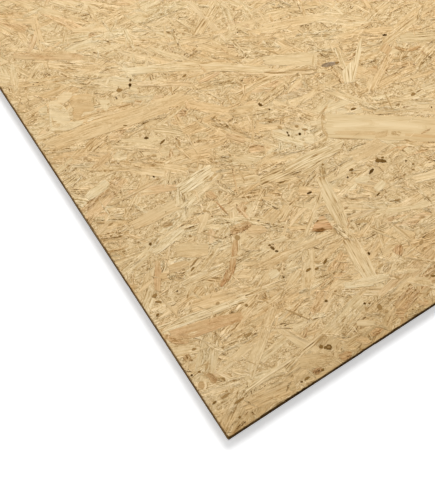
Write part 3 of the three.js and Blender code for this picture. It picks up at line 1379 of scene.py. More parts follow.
# Each row: name, x, y, length, width, turn, tone, level, broken, cast.
MARKED_FLAKES: tuple[Mark, ...] = (
    Mark("smooth strand", 420, 192, 248, 36.5, -35, 0.53, 0.07, 0.05, 0.6, BLUNT, figure=0.4),
    Mark("its low tan part", 344, 234, 60, 13, -33, 0.46, 0.062, 0.1, -0.8, figure=0.3, skirt=3),
    Mark("its low amber part", 412, 186, 50, 10, -37, 0.465, 0.062, 0.1, -1.6, figure=0.3, skirt=3),
    Mark("its stripe's border, left", 347, 246, 60, 14, -28.7, 0.56, 0.054, 0, 0.6, figure=0.2, skirt=3),
    Mark("its stripe's border", 398, 212, 80, 18, -37.5, 0.57, 0.054, 0, 0.6, figure=0.2, skirt=3),
    Mark("its stripe's border, right", 468, 162, 110, 16, -35, 0.57, 0.054, 0, 0.6, figure=0.2, skirt=3),
    Mark("its stripe, left", 347, 246, 54, 8.7, -28.7, 0.64, 0.046, 0, 0.6, figure=0.2, skirt=2),
    Mark("its stripe", 398, 212, 70, 11.7, -37.5, 0.62, 0.046, 0, 0.6, figure=0.2, skirt=2),
    Mark("its stripe, right", 468, 163, 100, 9, -35, 0.61, 0.046, 0, 0.6, figure=0.2, skirt=2),
    Mark("its palest middle", 398, 212, 58, 7, -37.5, 0.67, 0.038, 0, 0.8, figure=0.2, skirt=2),
    # The smooth strand's cut end: its three rim flakes are darker, partly painted shade along that raised end
    # and partly its dark fibres.
    Mark("its end's rim, top", 324, 274, 10, 6, 50, 0.46, 0.02, 0.5, -1.2, SHARD, skirt=0.3),
    Mark("its end's rim, middle", 317, 266, 12, 2.8, -120, 0.33, 0.014, 0.5, -1, skirt=0.2),
    Mark("its end's rim, foot", 313, 254, 14, 4, -97, 0.38, 0.02, 0.5, -1, skirt=0.3),
    Mark("tan flake over its edge", 372, 214, 20, 9, -18, 0.46, 0.034, 0.4, 0, figure=0.4, heart=0.1,
         skirt=0.6),
    Mark("tan flake right of it", 388, 205, 14, 8.5, -42, 0.475, 0.028, 0.4, 0, figure=0.4, skirt=0.6),
    Mark("rosy flake below them", 344, 205, 50, 21, -4, 0.53, 0.074, 0.4, 0, figure=0.4, heart=0.12),
    Mark("pale flake by the pitch dash", 313, 176, 21, 10, -20, 0.62, 0.05, 0.4, 2),
    Mark("pale flake right of that one", 327, 157, 19, 11, 12, 0.62, 0.056, 0.4, 2),
    Mark("olive smudge", 278, 128, 17, 10, -12, 0.5, 0.04, 1.3, 1.2, CHIP),

    Mark("pale curved strand", 226, 417, 205, 15, -32, 0.6, 0.09, 0.35, 1, figure=1.1, bow=9),
    Mark("rosy strand at the left", 72, 543, 100, 13, -33, 0.51, 0.1, 0.5, 0, figure=0.5, heart=0.4),
    Mark("round flake", 89, 391, 21, 14, -22, 0.62, 0.04, 1, 0, CHIP, heart=0.25),
    Mark("olive flake over it", 128, 427, 17, 6, -32, 0.52, 0.04, 0.8, 2.2),
    Mark("rosy brown strand", 55, 370, 34, 10, 14, 0.48, 0.05, 0.6, 0, heart=0.3),
    Mark("pale flake right of it", 79, 364, 20, 15, -12, 0.61, 0.056, 1, 1.2, CHIP),
    Mark("brown flake below it", 49, 331, 14, 10, -52, 0.49, 0.044, 0.8, 0, CHIP, heart=0.3),
    Mark("thin pale line", 88, 374, 29, 3, -34, 0.59, 0.036, 0.2, 0, skirt=0.4),
    Mark("thin pale line, right", 112, 356, 32, 3, -40, 0.68, 0.03, 0.2, 0, skirt=0.4),
    Mark("rosy brown band", 70, 312, 74, 5.6, -2, 0.47, 0.034, 0.8, 0, figure=0.8, heart=0.3, skirt=0.5),
    Mark("smooth tan strand", 73, 273, 66, 18, -4, 0.53, 0.064, 0.4, 0, figure=0.4, heart=0.12),
    Mark("rosy lines", 176, 427, 90, 9, -32, 0.61, 0.144, 0.6, 0, figure=1.4, heart=0.16),
    Mark("rosy lines, right", 304, 364, 120, 8, -31, 0.62, 0.138, 0.6, 0, figure=1.5, heart=0.08),
    Mark("broad rosy strand", 105, 408, 210, 24, -10, 0.57, 0.12, 0.3, 0, heart=0.02),

    Mark("lined strand", 264, 235, 128, 17, -6, 0.54, 0.11, 0.3, 0.8, figure=1.6),
    Mark("lined strand below it", 271, 223, 48, 10, 6, 0.52, 0.136, 0.5, 0.5, figure=1.6),
    Mark("its upper pale line", 269, 242, 65, 2.7, -4.8, 0.61, 0.04, 0.2, 1, SLIVER, skirt=0.4),
    Mark("its lower pale line", 264, 237, 59, 3, -1.7, 0.68, 0.05, 0.2, 1, SLIVER, skirt=0.4),
    Mark("its pale foot", 208, 246, 14, 3.6, 8.5, 0.64, 0.06, 0.4, 0.8, SLIVER, skirt=0.4),
    # The smudge is painted shade beside the lined strands, over the steep pale strand.
    Mark("smudge", 279, 212, 22, 9, -118, 0.455, 0.04, 1.3, 1.2, CHIP),
    Mark("other olive smudge", 186, 293, 15, 9, -28, 0.55, 0.04, 1.3, 1.6, CHIP),
    Mark("steep pale strand", 264, 171, 76, 19, -102, 0.56, 0.1, 0.3, 0.8, figure=1.1),
    Mark("steep pale strand's foot", 248, 93, 66, 21, -98, 0.6, 0.105, 0.4, 0.6, figure=1.1),
    Mark("strand across it", 239, 173, 80, 7, -144, 0.53, 0.1, 0.5, 0, figure=1.3),
    Mark("flake over both", 253, 130, 34, 14, -80, 0.615, 0.05, 1.4, 1, CHIP),

    Mark("tan strip", 188, 144, 112, 9, -8, 0.505, 0.1, 0.4, 0, figure=1, heart=0.1),
    Mark("pale streak", 50, 136, 122, 13, -11.5, 0.575, 0.11, 0.5, 1.2, figure=1.7),
    Mark("pale streak's tail", 127, 124, 66, 9, -13, 0.59, 0.12, 0.7, 0.6, figure=1.8),
    Mark("rosy band", 47, 121, 95, 17, -16, 0.515, 0.09, 0.35, 0, figure=0.4, heart=0.55),
    Mark("rosy band's end", 14, 124, 30, 13, -33, 0.47, 0.08, 0.8, 0, CHIP, heart=0.5),
    Mark("lower strand, left", 83, 34, 82, 6.5, 1.5, 0.6, 0.11, 0.5, 0.4, figure=1.6),
    Mark("lower strand, right", 146, 38, 43, 8, 8, 0.6, 0.1, 0.5, 0.4, figure=1.6),
    Mark("lower strand's pale line", 97, 37, 62, 1.8, 3, 0.64, 0.05, 0.2, 0.6, SLIVER, skirt=0.3),
    Mark("lower strand's double", 109, 24, 98, 4.5, 3, 0.59, 0.09, 0.5, 0.4, figure=1.4),
    Mark("tan field below it", 132, 18, 44, 20, -25, 0.535, 0.06, 0.5, -0.3, CHIP, figure=0.4),

    Mark("pale strand by the knot", 268, 271, 44, 10, -53, 0.575, 0.1, 0.6, 0.8, figure=1),
    Mark("pale flake by the knot", 290, 256, 16, 14, -38, 0.62, 0.06, 0.8, 0.6, CHIP, figure=0.8),
    Mark("knot", 286, 287, 30, 19, -30, 0.575, 0.06, 1.1, 0, CHIP, heart=0.1),
    Mark("knot's ring, right", 299, 281, 14, 1.8, -96, 0.47, 0.008, 1.2, 0, SPLIT, bow=2, skirt=0.2),

    Mark("pale patch", 43, 456, 32, 50, -32.5, 0.65, 0.07, 0.6, 2.2, PATCH, figure=0.3, skirt=2),
    Mark("pale patch's lobe", 62, 475, 20, 18, -32.5, 0.67, 0.056, 0.3, 1.2, LOBE, figure=0.3),
    Mark("pale patch's foot", 49, 434, 30, 19, -32.5, 0.66, 0.062, 0.4, 2.2, WING, figure=0.5),
    Mark("pale patch's left wing", 29, 474, 13, 19, -32.5, 0.6, 0.078, 0.6, 2.4, HOOK, figure=0.5),
    Mark("tan blob", 74, 450, 35, 43, -32.5, 0.51, 0.05, 0.3, -0.6, BLOB, figure=0.3, skirt=2),
    Mark("tan blob's right wing", 99, 439, 18, 20, -32.5, 0.6, 0.06, 0.5, 1.8, KITE, figure=0.5),
    Mark("yellow flake at the left end", 15, 457, 18, 8.7, -4, 0.57, 0.08, 0.8, 1.2, CHIP),
    Mark("pale flake at the far left", 22, 537, 48, 12, -112, 0.6, 0.05, 0.5, 1.2, CHIP),

    Mark("pale patch's grey part", 33, 446, 17, 11, -32, 0.595, 0.052, 0.6, 0.6, CHIP, figure=0.3, skirt=2),
    Mark("brown rim of the lobe", 63, 466, 14, 3.2, 14, 0.565, 0.026, 0.6, 1, CHIP, skirt=0.4),
    Mark("olive rim of the patch", 31, 437, 19, 2.6, -30, 0.46, 0.026, 0.4, 1.6, SLIVER, skirt=0.4),
    Mark("thin line on the patch", 33, 452, 8, 2.2, -32, 0.36, 0.026, 0.4, 0, DOT, skirt=0.2),
    Mark("thin line above it", 50, 464, 5.5, 2, 28, 0.42, 0.026, 0.4, 0, DOT, skirt=0.2),
    Mark("pale flake left of the blob", 58, 456, 10, 8, 30, 0.63, 0.044, 0.4, 1.6, DOT, skirt=0.5),
    Mark("blob's orange spot", 60, 448, 6, 5, 20, 0.46, 0.026, 0.4, -1, CHIP, heart=0.2, skirt=0.4),
    Mark("blob's olive spot", 56, 440, 6, 5, -32, 0.43, 0.032, 0.4, 1.2, DOT, skirt=0.3),
    Mark("blob's olive edge", 91, 452, 13, 7, 58, 0.47, 0.036, 0.4, 1.8, DOT, skirt=0.5),
    Mark("dark spot in it", 89, 449, 3.6, 3.2, 0, 0.36, 0.02, 0.4, 0, DOT, skirt=0.2),
    Mark("pink spot on the blob", 89, 437, 6, 4.2, -12, 0.53, 0.026, 0.4, 0, CHIP, heart=0.6, skirt=0.3),
    Mark("pale wing's lower part", 99, 437, 7, 6, 58, 0.64, 0.05, 0.4, 1.8, CHIP, skirt=0.5),
    Mark("green spot on the wing", 104, 437, 4.6, 3.6, 8, 0.33, 0.026, 0.4, 2, DOT, skirt=0.2),
    Mark("yellow splinter", 75, 431, 11, 2.8, -2, 0.72, 0.024, 0.4, 1, SLIVER, skirt=0.3),
    Mark("yellow splinter below it", 73, 429, 11, 2.6, -8, 0.84, 0.018, 0.4, 1, DOT, skirt=0.2),
    Mark("pink spot by the patch", 15, 445, 7, 5.2, -32, 0.63, 0.04, 0.4, 0, CHIP, heart=0.18, skirt=0.5),
    Mark("patch's olive line", 15, 453, 8, 1.9, -44, 0.3, 0.026, 0.4, 1.5, SLIVER, skirt=0.2),
    Mark("patch's dark spot", 15, 474, 6.5, 2.6, -2, 0.22, 0.026, 0.4, 0.8, DOT, skirt=0.2),
    Mark("splintered pale flake", 140, 287, 56, 20, 4, 0.63, 0.05, 0.6, 1.6, figure=2),
    Mark("straw flake", 31, 339, 36, 14, 6, 0.585, 0.06, 0.6, 1.8, figure=0.8),
    Mark("pale broad flake", 68, 235, 50, 12.7, 8, 0.61, 0.1, 0.6, 1, figure=1.2),
    Mark("smooth tan flake", 86, 210, 42, 20, -28, 0.515, 0.07, 0.4, 0, figure=0.4),
    Mark("its lower left part", 61, 201, 27, 12, -12, 0.49, 0.064, 0.4, 0, figure=0.4, heart=0.1),
    Mark("amber patch", 39, 200, 11, 9.5, -32, 0.5, 0.044, 0.4, -1.4, CHIP),
    Mark("grey shade", 48, 195, 12, 10, -32, 0.475, 0.038, 1.1, 1.5, CHIP),
    Mark("pale splintered strand", 81, 175, 60, 13, -8, 0.6, 0.084, 0.7, 0.6, figure=1.6),
    Mark("tan strip's pale edge", 214, 143, 58, 3.4, -8, 0.65, 0.036, 0.4, 0, skirt=0.5),
    Mark("brown strand", 210, 138, 25, 7.5, -8, 0.45, 0.044, 0.4, 0, heart=0.15, skirt=0.6),
    Mark("brown strand left of it", 162, 142, 36, 6, -4, 0.465, 0.05, 0.4, 0, heart=0.1, skirt=0.6),
    Mark("pale flake by the cluster", 179, 165, 23, 9, -12, 0.67, 0.016, 0.4, 1.4, figure=1.4),
    Mark("pale spot by the dashes", 151, 132, 15, 11, 2, 0.64, 0.06, 0.4, 2),
    Mark("pale strand by the dashes", 227, 67, 38, 9.5, -28, 0.61, 0.07, 0.4, 2, figure=1),

    Mark("grey flake", 376, 335, 24, 9, -19, 0.44, 0.02, 0.6, 0, CHIP, figure=0.9, stain=3),
    Mark("pale fork", 395, 312, 42, 26, -122, 0.68, 0.024, 0.3, 2.4, FORK, figure=1.6),
    Mark("its left arm", 395, 336, 36, 9, -105, 0.6, 0.034, 0.4, 1.8, PRONG, figure=1.4),
    Mark("its prong", 412, 321, 69, 8.6, -136, 0.67, 0.016, 0.3, 2.4, PRONG, figure=1.2, skirt=0.6),
    Mark("far smooth strand", 338, 368, 76, 21, -30, 0.58, 0.075, 0.4, 1),
    Mark("far straw strand", 502, 305, 58, 17.5, -29, 0.55, 0.08, 0.4, 1.8, figure=0.9),
    Mark("rosy flake", 455, 314, 19, 15.5, 28, 0.49, 0.04, 0.4, 0, SHARD, heart=0.35),

    Mark("amber band, left", 471, 303, 20, 6.4, -50, 0.36, 0.03, 0.8, -1.5, CHIP, heart=0.25),
    Mark("amber band, right", 486, 294, 21, 6.2, -12, 0.39, 0.03, 0.8, -1.5, CHIP, heart=0.25),

    Mark("red triangle", 236, 155, 27, 20, -27, 0.5, 0.024, 0.3, 0, TRIANGLE, figure=1.5, heart=0.95),
    Mark("its shaded foot", 229, 148, 19, 5.6, -28, 0.23, 0.012, 0.4, 0, SPLIT, heart=0.9, skirt=0.4),
    Mark("rosy smear", 144, 258, 18, 10, -70, 0.485, 0.04, 1, 0, CHIP, heart=0.5),
    Mark("red line", 146, 237, 23, 2.6, -82, 0.43, 0.032, 0.5, 0, heart=0.8, skirt=0.4),
    Mark("red blotch", 151, 203, 28, 12, -10, 0.475, 0.036, 1, 0, heart=0.6, skirt=0.4),
    Mark("its dark part", 145, 202, 14, 8, -18, 0.34, 0.024, 1, 0, CHIP, heart=0.7),
    Mark("its dark part, right", 155, 200, 12, 8, 2, 0.32, 0.018, 1, 0, CHIP, heart=0.7),
    Mark("pale line over the blotch", 148, 202, 12, 1.8, -82, 0.47, 0.008, 0.4, 0, heart=0.3, skirt=0.2),
    Mark("rosy haze by it", 165, 190, 33, 15.7, -28, 0.54, 0.044, 0.7, 0, CHIP, heart=0.25),
    Mark("red strip", 130, 184, 24, 7.5, -130, 0.44, 0.02, 0.8, 0, heart=0.8, skirt=0.4),
    Mark("red strip, middle", 116, 168, 24, 7.7, -130, 0.43, 0.028, 0.8, 0, heart=0.8, skirt=0.4),
    Mark("red strip, lower part", 104, 160, 16, 8.8, -140, 0.46, 0.014, 0.8, 0, figure=0.4, heart=0.8,
         skirt=0.4),
    Mark("red strip, foot", 94, 155, 11, 6.4, -160, 0.46, 0.034, 0.8, 0, figure=0.5, heart=0.8, skirt=0.4),
    Mark("pale line across it", 124, 175, 14, 2.4, -18, 0.47, 0.008, 0.4, 0, SLIVER, skirt=0.2),
    Mark("red upright", 34, 204, 40, 8.5, -122, 0.49, 0.05, 0.6, 0, heart=0.6, skirt=0.4),
    Mark("rosy end", 10, 101, 13, 8, -88, 0.41, 0.06, 0.7, 0, CHIP, heart=0.5),

    Mark("pale flake by the edge", 240, 65, 66, 11, -21, 0.62, 0.06, 0.6, 1, CHIP),
    Mark("far thin strand", 310, 93, 33, 3.2, -76, 0.6, 0.034, 0.4, 0, figure=0.4, skirt=0.4),
    Mark("far red lines", 294, 76, 15, 13, 46, 0.525, 0.05, 1.1, 0, CHIP, figure=1, heart=0.7, skirt=0.5),
    Mark("thin brown strand", 271, 73, 25, 3, 14, 0.5, 0.028, 0.5, 0, heart=0.3, skirt=0.4),
    Mark("brown flake under it", 268, 65, 15, 7.5, 12, 0.48, 0.056, 1, 0, CHIP, figure=1.2, heart=0.2,
         skirt=0.5),
    Mark("smudge by the corner", 22, 66, 17, 8.5, -78, 0.36, 0.032, 1, 0, CHIP, heart=0.5, skirt=0.4),
    Mark("its olive right part", 29, 60, 12, 6.5, -42, 0.37, 0.044, 1.2, 0, CHIP, skirt=0.4),
    Mark("amber flake by the left edge", 7, 65, 9, 8, -32, 0.37, 0.04, 0.4, -1.5, CHIP, heart=0.2, skirt=0.5),
    Mark("pale flake, steeper", 290, 31, 38, 12, -40, 0.605, 0.08, 0.6, 0, CHIP),
    Mark("rosy flake by the right edge", 247, 12, 13, 14, -32, 0.55, 0.05, 1, 0, CHIP, figure=1.2, heart=0.6,
         skirt=0.5),
    Mark("amber flake left of it", 210, 9, 20, 7, -2, 0.515, 0.044, 1, -1.5, CHIP, heart=0.45, skirt=0.5),
    Mark("rosy flake right of the pith", 164, 5, 18, 10, -12, 0.54, 0.05, 1, 0, CHIP, heart=0.6, skirt=0.5),
    Mark("far amber flake", 278, 8, 13, 9, -32, 0.53, 0.05, 1, -1, CHIP, heart=0.4, skirt=0.5),
    Mark("pale blob", 206, 24, 23, 8, -32, 0.66, 0.03, 0.1, 1, skirt=0.5),
    Mark("pale blob's core", 202, 27, 13, 5.4, -32, 0.74, 0.022, 0.1, 1, skirt=0.5),
    Mark("amber flake by the edge", 191, 9, 19, 10, -33, 0.6, 0.05, 1.2, -1.5, CHIP, heart=0.15),
    Mark("brown flake by the edge", 127, 8, 15, 7, -6, 0.46, 0.04, 1.2, 0, CHIP, heart=0.9),
    Mark("yellow flake by the edge", 91, 7, 10, 5, -10, 0.48, 0.04, 0.8, 1.2, CHIP),
    Mark("double crack's pale edge", 83, 191, 15, 2.4, -163, 0.66, 0.024, 0.4, 0.8, SLIVER, skirt=0.3),
    Mark("low brown flake", 79, 253, 13, 5.6, -18, 0.35, 0.02, 1, 0, heart=0.4, skirt=0.3),
)
MARKED_SPECKS: tuple[Mark, ...] = (
    Speck("pitch streak", 350, 183, 11.5, 6.2, -34, 0.08),
    Speck("pitch streak, left", 345.5, 186.5, 9, 5.6, -20, 0.12),
    Speck("its bump", 353, 187, 4.4, 2.8, -12, 0.14),
    Speck("pitch dash", 330, 179, 11.8, 3.5, 20, 0.04),
    Speck("crumb below it", 311, 188, 3.4, 2.6, -32, 0.3),
    Speck("crumb left of it", 308, 190, 3.6, 3, -32, 0.24),
    Speck("pitch dash beside it", 310, 194, 6.6, 3.7, -14, 0.12),
    Speck("pitch dot below it", 300, 188, 3, 2.3, 50, 0.04),
    Speck("paired specks, one", 146, 453, 4.4, 3.6, 60, 0.09),
    Speck("paired specks, other", 142, 447, 5.6, 4.8, 60, 0.01),
    Speck("brown speck beside them", 126, 447.5, 9, 6.2, -4, 0.22),
    Speck("speck over the knot", 267, 332, 6.6, 3.9, -72, 0.07),
    Speck("long dash at the left", 119, 369, 6.6, 3.8, -30, 0.05),
    Speck("dash beside it", 133, 353.5, 11, 3, 15, 0.12),
    Speck("dash over it", 150, 341, 9.6, 3.8, 73, 0.32),
    Crack("dark line under the thin one", 102, 359, 46, 1.7, -38, 0.53),
    Speck("smudge under that line", 114, 343, 7.6, 4, -32, 0.33),
    Speck("brown spots, left", 66, 362, 9, 2.8, -22, 0.3),
    Speck("brown spots, middle", 76, 358, 4.4, 3, -22, 0.36),
    Speck("brown spots, right", 83, 356, 3.8, 2.6, -12, 0.4),
    Crack("crack under the far strand", 340, 348, 38, 2.2, -30, 0.36),
    Crack("steep line on it", 364, 352, 21, 1.8, 48, 0.42),
    Crack("slanting crack left of it", 325, 390, 20, 2.3, -58, 0.34),
    Crack("forked crack, stem", 46, 297, 8, 2.2, -120, 0.34),
    Crack("forked crack, arms", 48, 302, 23, 1.9, -28, 0.42),
    Speck("crumbs at the left end", 12, 299, 10.5, 3.2, -36, 0.3),
    Speck("needle by the long dash", 106, 399, 6.4, 2.2, -30, 0.17),
    Crack("rim of the round flake", 102, 383, 14, 2.8, 4, 0.42),
    Crack("curved crack, upper part", 82, 519, 10, 1.8, -45, 0.32),
    Crack("curved crack, lower part", 89, 510, 11, 1.8, -65, 0.3),
    Speck("speck at the far right", 466, 332, 6.8, 3.8, -22, 0.01),
    Speck("brown speck at the right", 442, 239, 8.6, 5.2, -8, 0.22),
    Crack("its tail", 451, 239, 11, 1.9, 4, 0.22),
    Crack("crack by the rosy flake", 448, 318, 25, 3, 28, 0.42),
    Speck("dash below the amber band", 468, 290, 11.5, 3.6, -16, 0.24),
    Crack("crack over the smooth strand", 409, 248, 34, 2.1, -104, 0.34),
    Speck("dash over its end", 364, 263, 7.6, 3.6, -12, 0.12),
    Speck("dash by the fork", 399, 374, 5, 3.4, 8, 0.34),
    Speck("grey flake's dark tip", 387, 331, 7.6, 4, -12, 0.2),
    Speck("dot at the right", 450, 211, 3.4, 2.8, 50, 0.08),
    Speck("dash over the long strand", 206, 348, 7.6, 2.3, 12, 0.22),
    Speck("dash over the curved strand", 208, 421, 7.6, 4.4, 9, 0.2),

    Speck("knot's edge, upper left", 273, 280, 3.8, 3, -105, 0.05),
    Speck("knot's edge, lower left", 272, 276, 3.6, 2.9, -89, 0.06),
    Speck("knot's edge, right", 285, 270, 4.8, 4.2, -20, 0.01),
    Crack("knot's edge, right, tail", 281, 271, 5, 2, -28, 0.34),
    Speck("knot's brown crumb", 288, 281.5, 6.2, 4.8, -25, 0.26),
    Speck("knot's right crumb", 294, 272, 8.6, 3.8, -35, 0.27),
    Speck("knot's left crumb", 269, 291, 8, 4.2, -82, 0.33),
    Crack("line under the knot", 266, 267, 21, 1.5, -40, 0.49),
    Crack("crack right of the knot", 309, 269, 13, 1.8, -11, 0.4),
    Crack("crack under its end", 328, 235, 34, 2, -35, 0.33),
    Crack("crack under the smooth strand", 394, 190, 9, 2.2, -48, 0.32),
    Crack("line under the lined strand", 250, 240, 40, 1.3, -2.2, 0.45),
    # The smudge's core, top and foot deepen that painted shade.
    Speck("smudge's core", 278, 211, 9, 4, -120, 0.32),
    Speck("smudge's top", 284, 219, 3.8, 3.4, -32, 0.2),
    Speck("smudge's foot", 274, 203, 5.4, 3.8, -120, 0.31),
    Speck("olive smudge's core, left", 277, 131, 9, 5.4, -32, 0.36),
    Speck("olive smudge's core, right", 283, 128, 8, 4.4, -32, 0.36),
    Speck("hook by the other smudge", 194, 292, 5.4, 2.4, -68, 0.26),
    Crack("dashed line at the right", 332, 130, 11, 2, -20, 0.2),
    Speck("dashed line, left", 325, 133, 3.6, 2, -32, 0.28),
    Speck("dot by the brown speck", 380, 159, 3.8, 2.6, -22, 0.22),
    Speck("dot below that one", 375, 153, 4.4, 3.2, -22, 0.22),
    Speck("dark curve", 248, 196, 7.6, 3.7, -7, 0.02),
    Speck("speck by the steep strand", 318, 149, 7.6, 2.8, 7, 0.09),

    Speck("pitch cluster, upper part", 167, 165, 3.6, 3, -52, 0.14),
    Speck("pitch cluster, middle", 168, 160, 6.2, 4.2, -72, 0.08),
    Speck("pitch cluster, lower part", 170, 154, 5.4, 3.2, -38, 0.06),
    Speck("red blotch's dot", 140, 194, 8, 7, -22, 0.28),
    Speck("dark spot at the left edge", 3.5, 81, 3.4, 2.9, -30, 0.04),
    Speck("spot right of it", 13, 80, 4, 3.2, -12, 0.18),
    Speck("dot above them", 13, 96, 3.6, 2.8, -52, 0.2),
    Crack("fold by the corner", 24, 81, 15, 3.2, 38, 0.34),
    Crack("fold's lower arm", 17, 73, 12, 2.6, -74, 0.38),
    Crack("crease by the corner", 33, 42, 12, 2.4, 28, 0.38),
    Crack("shade of the thin strand", 312, 94, 32, 2.1, -76, 0.38),
    Crack("brown strand's lower end", 263, 72, 10, 3, 18, 0.34),
    Speck("dash in the pale flake", 271, 49, 8, 3.8, -60, 0.32),
    Speck("dash at the right edge", 308, 28, 7, 3.6, -32, 0.14),
    Speck("dot left of that dash", 303, 32, 3.8, 3, -32, 0.22),
    Speck("smudge below the amber band", 457, 294, 10, 4.4, -20, 0.38),
    Crack("thin line left of the strip", 116, 213, 29, 1.5, -48, 0.48),
    Crack("short crack", 274, 155, 7.5, 1.9, 2, 0.26),
    Crack("short crack, left", 203, 117, 8.5, 1.8, -36, 0.34),
    Crack("curved line by the red strip", 142, 183, 9, 1.8, -2, 0.42),
    Crack("rosy brown line", 147, 230, 11, 1.8, -82, 0.3),
    Speck("olive crumb", 170, 221, 5.2, 3.4, -22, 0.28),
    Speck("olive crumb left of it", 126, 245, 6.4, 3.8, -32, 0.34),
    Speck("olive crumb beside it", 129, 242, 6, 3.2, -52, 0.32),
    Speck("dark dot below it", 130, 234, 2.6, 2.4, -32, 0.2),
    Crack("long crack", 111, 219, 17, 1.6, -52, 0.41),
    Crack("long crack's end", 120, 207, 15, 1.4, -46, 0.34),
    Crack("double crack", 80, 195, 16, 2.2, -162, 0.24),
    Speck("dash by the double crack", 73, 189, 7.4, 3.2, 25, 0.18),
    Crack("brown flake's line", 94, 254, 12, 1.6, 5, 0.38),
    Speck("dot by the brown flake", 64, 258, 3.6, 1.7, -18, 0.3),
    Speck("dot at the left", 48, 243, 4.6, 4, -20, 0.08),
    Speck("dot in the middle", 94, 226, 4.2, 3.2, -27, 0.26),
    Speck("dash by the left end", 21, 291, 7.4, 3.6, 0, 0.26),
    Speck("speck by the upright, upper", 18, 185, 7.4, 4.8, 5, 0.22),
    Speck("speck by the upright, lower", 18, 176, 8, 3, -33, 0.21),
    Speck("dash at the left end", 9, 163, 5.2, 2.8, -8, 0.14),
    Speck("dot under the red upright", 75, 137, 6.2, 3.8, -10, 0.3),
    Speck("dot over the red band", 102, 117, 4.8, 3.8, -49, 0.22),
    Speck("dash in the red band", 22, 105, 7.4, 3.8, -12, 0.24),
    Crack("angle, one side", 80, 87, 8, 2.2, -98, 0.28),
    Crack("angle, other side", 85, 86, 9, 2.6, 12, 0.24),

    Speck("dashes in a row, one", 211, 112, 8.4, 3.1, 26, 0.14),
    Speck("its brown left part", 203, 116, 9, 3.4, -20, 0.34),
    Crack("upright line", 199, 101, 12, 1.8, 58, 0.4),
    Crack("upright line right of it", 208, 93, 10, 2, 50, 0.42),
    Speck("brown spot by the dashes", 224, 81, 6.6, 3, -38, 0.36),
    Crack("line under that spot", 219, 80, 18, 1.7, -30, 0.38),
    Crack("slanting crack", 145, 76, 34, 2.1, -58, 0.3),
    Crack("upright line over it", 145, 106, 15, 2.2, 36, 0.32),
    Speck("dashes in a row, two", 188, 114, 8, 4.8, 8, 0.17),
    Speck("dashes in a row, three", 197, 110, 6.8, 3.4, -13, 0.19),
    Speck("dots by the edge, one", 219, 44, 4, 3.2, -50, 0.05),
    Speck("dots by the edge, two", 224, 41, 3, 2.2, -30, 0.1),
    Speck("dots by the edge, three", 217, 38, 5.2, 3.8, -90, 0.3),
    Speck("brown square by the edge", 231, 31, 7.4, 6.8, -40, 0.23),
    Speck("crumb beside it", 235, 22, 4.4, 4, 0, 0.3),
    Speck("lone speck", 183, 71, 4.2, 3.7, -30, 0.09),
    Speck("two specks, one", 261, 92, 4.4, 3.6, 68, 0.04),
    Speck("two specks, other", 268, 85, 2.6, 2.4, -70, 0.32),
    Speck("dash at the right", 323, 69.5, 8.4, 4.4, 33, 0.28),
    Mark("pith", 153, 24, 8.8, 7.4, -28, 0.1, 0.01, 0.4, 0, DISC, heart=0.8, skirt=0.3),
    Mark("pith's left lobe", 149.5, 25.5, 5.6, 4.6, -12, 0.12, 0.008, 0.4, 0, DOT, heart=0.8, skirt=0.3),
    Mark("pith's paler middle", 153, 24, 4.2, 3, -30, 0.26, 0.004, 0.4, 0, DOT, heart=0.8, skirt=0.3),
    Speck("dot right of the pith", 176, 28, 3, 2.2, -30, 0.24),
    Crack("line right of the pith", 171.5, 29, 8, 1.7, -8, 0.42),
    Speck("crumb by the pith", 146, 29, 5.6, 4.6, -4, 0.15),
    Crack("line in the lower strand", 146, 36, 28, 2.4, 10, 0.28),
    Speck("dark bit at the near corner", 32, 28, 14.5, 3.9, -1, 0.21),
    Speck("dark bit above it", 23, 41, 14, 3.3, 1, 0.25),
    Speck("dash at the left rim", 8, 41, 6.2, 3.2, 7, 0.13),
    Speck("dash by the edge", 111, 7.5, 8.6, 3, 0, 0.17),
    Speck("dash by the edge, tail", 104, 8, 4, 2.8, -11, 0.1),
    Speck("brown flake's dark part", 132, 6, 4.6, 3, 20, 0.14),
    Speck("dot at the near corner", 23, 12, 3.9, 3, 12, 0.18),
)


# --- The pressed body and its sawn edges ---


@dataclass(frozen=True)
class PressedBody:
    """The board under the strands: a copy of the solid, sunk all round by the depth of the relief."""

    sheet: SheetSize
    solid: Object
    name: str = "pressed_board"
    face_sink: float = 0.55 * MM
    edge_sink: float = 0.35 * MM
    merge: float = 0.01 * MM
    flat: float = 0.99  # a polygon that faces up or down more than this is part of a broad face
    least_area: float = 10 * MM * MM  # unless it is smaller

    def build(self, fines: Material, sawn: Material) -> Object:
        """Makes the body.

        Args:
            fines: the finish of both broad faces.
            sawn: the finish of the edges and of the open gaps in them.

        Returns:
            The piece.
        """
        bpy.ops.object.select_all(action="DESELECT")
        mesh = self.solid.data.copy()
        mesh.name = self.name
        piece = bpy.data.objects.new(self.name, mesh)
        bpy.context.scene.collection.objects.link(piece)
        bpy.context.view_layer.objects.active = piece
        piece.select_set(True)
        mesh.materials.clear()
        mesh.materials.append(sawn)
        mesh.materials.append(fines)
        bpy.ops.object.mode_set(mode="EDIT")
        bpy.ops.mesh.select_all(action="SELECT")
        bpy.ops.mesh.remove_doubles(threshold=self.merge)
        bpy.ops.object.mode_set(mode="OBJECT")
        inward = (self.sheet.half - self.edge_sink) / self.sheet.half
        middle = self.sheet.thickness / 2
        squeeze = (middle - self.face_sink) / middle
        for vertex in mesh.vertices:
            vertex.co.x *= inward[0]
            vertex.co.y *= inward[1]
            vertex.co.z = middle + (vertex.co.z - middle) * squeeze
        for polygon in mesh.polygons:
            flat = abs(polygon.normal.z) > self.flat and polygon.area > self.least_area
            polygon.material_index = 1 if flat else 0
        mesh.update()
        return piece


@dataclass(frozen=True)
class Layer:
    """A layer of strands that the saw has cut through. Lengths are in millimetres."""

    low: float  # its underside, from the middle of the thickness
    high: float
    end_length: Pair  # how wide the strands are where they are cut across
    run_length: Pair  # how long they are where they are cut along their grain
    height: Pair  # how thick they are
    along_x: bool  # whether they lie along the sheet's length


